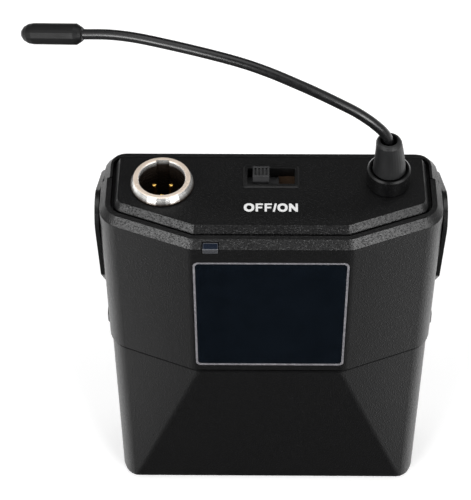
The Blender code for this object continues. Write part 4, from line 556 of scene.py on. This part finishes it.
def antenna_wire():
    """The antenna wire, a flexible cable drawn here as a tube along a fixed curve, in place of its solid."""
    # From the boot's mouth, in mm.
    route = [
        (0.0, 0.0, -3.5), (0.0, 0.0, -2.2), (0.0, 0.0, -1.0), (-0.12, 0.0, 0.0), (-0.55, 0.0, 1.0),
        (-1.25, 0.05, 2.05), (-2.0, 0.1, 2.9), (-3.7, 0.25, 4.5), (-6.3, 0.6, 6.35), (-9.3, 1.0, 8.0),
        (-12.9, 1.6, 9.75), (-16.5, 2.3, 11.25), (-21.85, 3.6, 13.05), (-27.2, 5.0, 14.2), (-34.4, 7.0, 14.9),
        (-42.5, 9.6, 15.0), (-47.0, 11.0, 14.85), (-51.0, 12.1, 14.4), (-55.3, 13.2, 13.5),
    ]
    points = [(WIRE_MOUTH + Vector(p)) * MM for p in route]
    padded = [points[0] * 2 - points[1], *points, points[-1] * 2 - points[-2]]
    fine = []
    for a, b, c, d in zip(padded, padded[1:], padded[2:], padded[3:]):
        for k in range(SPLINE_STEPS):
            t = k / SPLINE_STEPS
            fine.append(0.5 * ((2 * b) + (c - a) * t + (2 * a - 5 * b + 4 * c - d) * t * t
                               + (3 * b - a - 3 * c + d) * t ** 3))
    fine.append(points[-1].copy())
    curve = bpy.data.curves.new("antenna_wire", "CURVE")
    curve.dimensions = "3D"
    curve.bevel_depth = WIRE_RADIUS
    curve.bevel_resolution = 5
    curve.use_fill_caps = True
    spline = curve.splines.new("POLY")
    spline.points.add(len(fine) - 1)
    for target, point in zip(spline.points, fine):
        target.co = (*point, 1.0)
    spline.use_smooth = True
    curve.materials.append(LOOKS["wire"])
    wire = bpy.data.objects.new("antenna_wire", curve)
    bpy.context.scene.collection.objects.link(wire)
    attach(wire, "casing")
    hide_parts("antenna_cable")


label_border()
legend()
antenna_wire()


# ---------------------------------------------------------------- floor and light
FLOOR_HALF = 6.0
FLOOR_GLOW = 0.40


def floor():
    """White paper that glows faintly and is kept out of glossy reflections, where the world takes its place."""
    mesh = bpy.data.meshes.new("floor")
    half = FLOOR_HALF
    corners = [(-half, -half, 0), (half, -half, 0), (half, half, 0), (-half, half, 0)]
    mesh.from_pydata(corners, [], [[0, 1, 2, 3]])
    s = Surface("floor_paper", 0.9, specular=0.0)
    s.colour(s.ramp(s.noise(3.0, 2.0), [(0.3, (0.84, 0.84, 0.84)), (0.7, (0.87, 0.87, 0.87))]))
    s.shader.inputs["Emission Color"].default_value = (1.0, 1.0, 1.0, 1.0)
    s.shader.inputs["Emission Strength"].default_value = FLOOR_GLOW
    mesh.materials.append(s.material)
    thing = bpy.data.objects.new("floor", mesh)
    thing.visible_glossy = False
    bpy.context.scene.collection.objects.link(thing)


SOFTBOX_AIM = Vector((0.0, 0.0, 0.06))
SOFTBOX_DISTANCE = 1.2


def softbox(name, azimuth, elevation, size, power):
    """A soft light at a bearing from the object: azimuth 0 is in front of the label, 90 to its right."""
    turn, rise = math.radians(azimuth), math.radians(elevation)
    way = Vector((math.sin(turn) * math.cos(rise), -math.cos(turn) * math.cos(rise), math.sin(rise)))
    light = bpy.data.lights.new(name, "AREA")
    light.shape = "RECTANGLE"
    light.size, light.size_y = size
    light.energy = power
    thing = bpy.data.objects.new(name, light)
    bpy.context.scene.collection.objects.link(thing)
    thing.location = SOFTBOX_AIM + way * SOFTBOX_DISTANCE
    thing.rotation_euler = (-way).to_track_quat("-Z", "Y").to_euler()


def world(front, side, behind, below, crown):
    """A studio that is dim in front and bright at both sides, with a glow behind, below and up in front."""
    sky = bpy.data.worlds.new("studio")
    sky.use_nodes = True
    tree = sky.node_tree
    background = tree.nodes["Background"]
    background.inputs["Color"].default_value = (1.0, 1.0, 1.0, 1.0)
    split = tree.nodes.new("ShaderNodeSeparateXYZ")
    tree.links.new(tree.nodes.new("ShaderNodeTexCoord").outputs["Generated"], split.inputs[0])
    x, y, z = (split.outputs[axis] for axis in "XYZ")

    def step(value, low, high, out_low, out_high):
        node = tree.nodes.new("ShaderNodeMapRange")
        node.interpolation_type = "SMOOTHSTEP"
        limits = {"From Min": low, "From Max": high, "To Min": out_low, "To Max": out_high}
        for socket, number in limits.items():
            node.inputs[socket].default_value = number
        tree.links.new(value, node.inputs["Value"])
        return node.outputs["Result"]

    def math_node(operation, first, second=None):
        node = tree.nodes.new("ShaderNodeMath")
        node.operation = operation
        tree.links.new(first, node.inputs[0])
        if second is not None:
            tree.links.new(second, node.inputs[1])
        return node.outputs[0]

    across = math_node("ABSOLUTE", x)
    sides = step(across, 0.12, 0.60, front, side)
    # Behind and high up.
    high = step(z, 0.35, 0.75, 0.0, behind)
    rear = math_node("MULTIPLY", high, step(y, 0.2, 0.6, 0.0, 1.0))
    # Below, at the flanks and behind, in place of the floor.
    low = step(z, 0.15, -0.40, 0.0, below)
    flanks = math_node("MULTIPLY", step(across, 0.30, 0.60, 0.0, 1.0), step(y, -0.40, 0.10, 0.0, 1.0))
    rearward = math_node("MAXIMUM", flanks, step(y, 0.25, 0.60, 0.0, 1.0))
    grazed = math_node("MULTIPLY", low, rearward)
    # High up at both sides, in front.
    aloft = math_node("MULTIPLY", step(z, 0.25, 0.60, 0.0, crown), step(across, 0.20, 0.50, 0.0, 1.0))
    aloft = math_node("MULTIPLY", aloft, step(y, 0.0, -0.40, 0.0, 1.0))
    total = math_node("ADD", math_node("ADD", sides, rear), math_node("ADD", grazed, aloft))
    tree.links.new(total, background.inputs["Strength"])
    bpy.context.scene.world = sky


bpy.context.scene.view_settings.view_transform = "Standard"
floor()
world(front=0.02, side=0.38, behind=0.07, below=1.3, crown=1.3)
softbox("left_box", azimuth=-37.0, elevation=16.0, size=(0.5, 0.5), power=8.5)
softbox("right_box", azimuth=37.0, elevation=16.0, size=(0.5, 0.5), power=8.5)
softbox("overhead", azimuth=180.0, elevation=86.0, size=(1.0, 1.0), power=5.0)
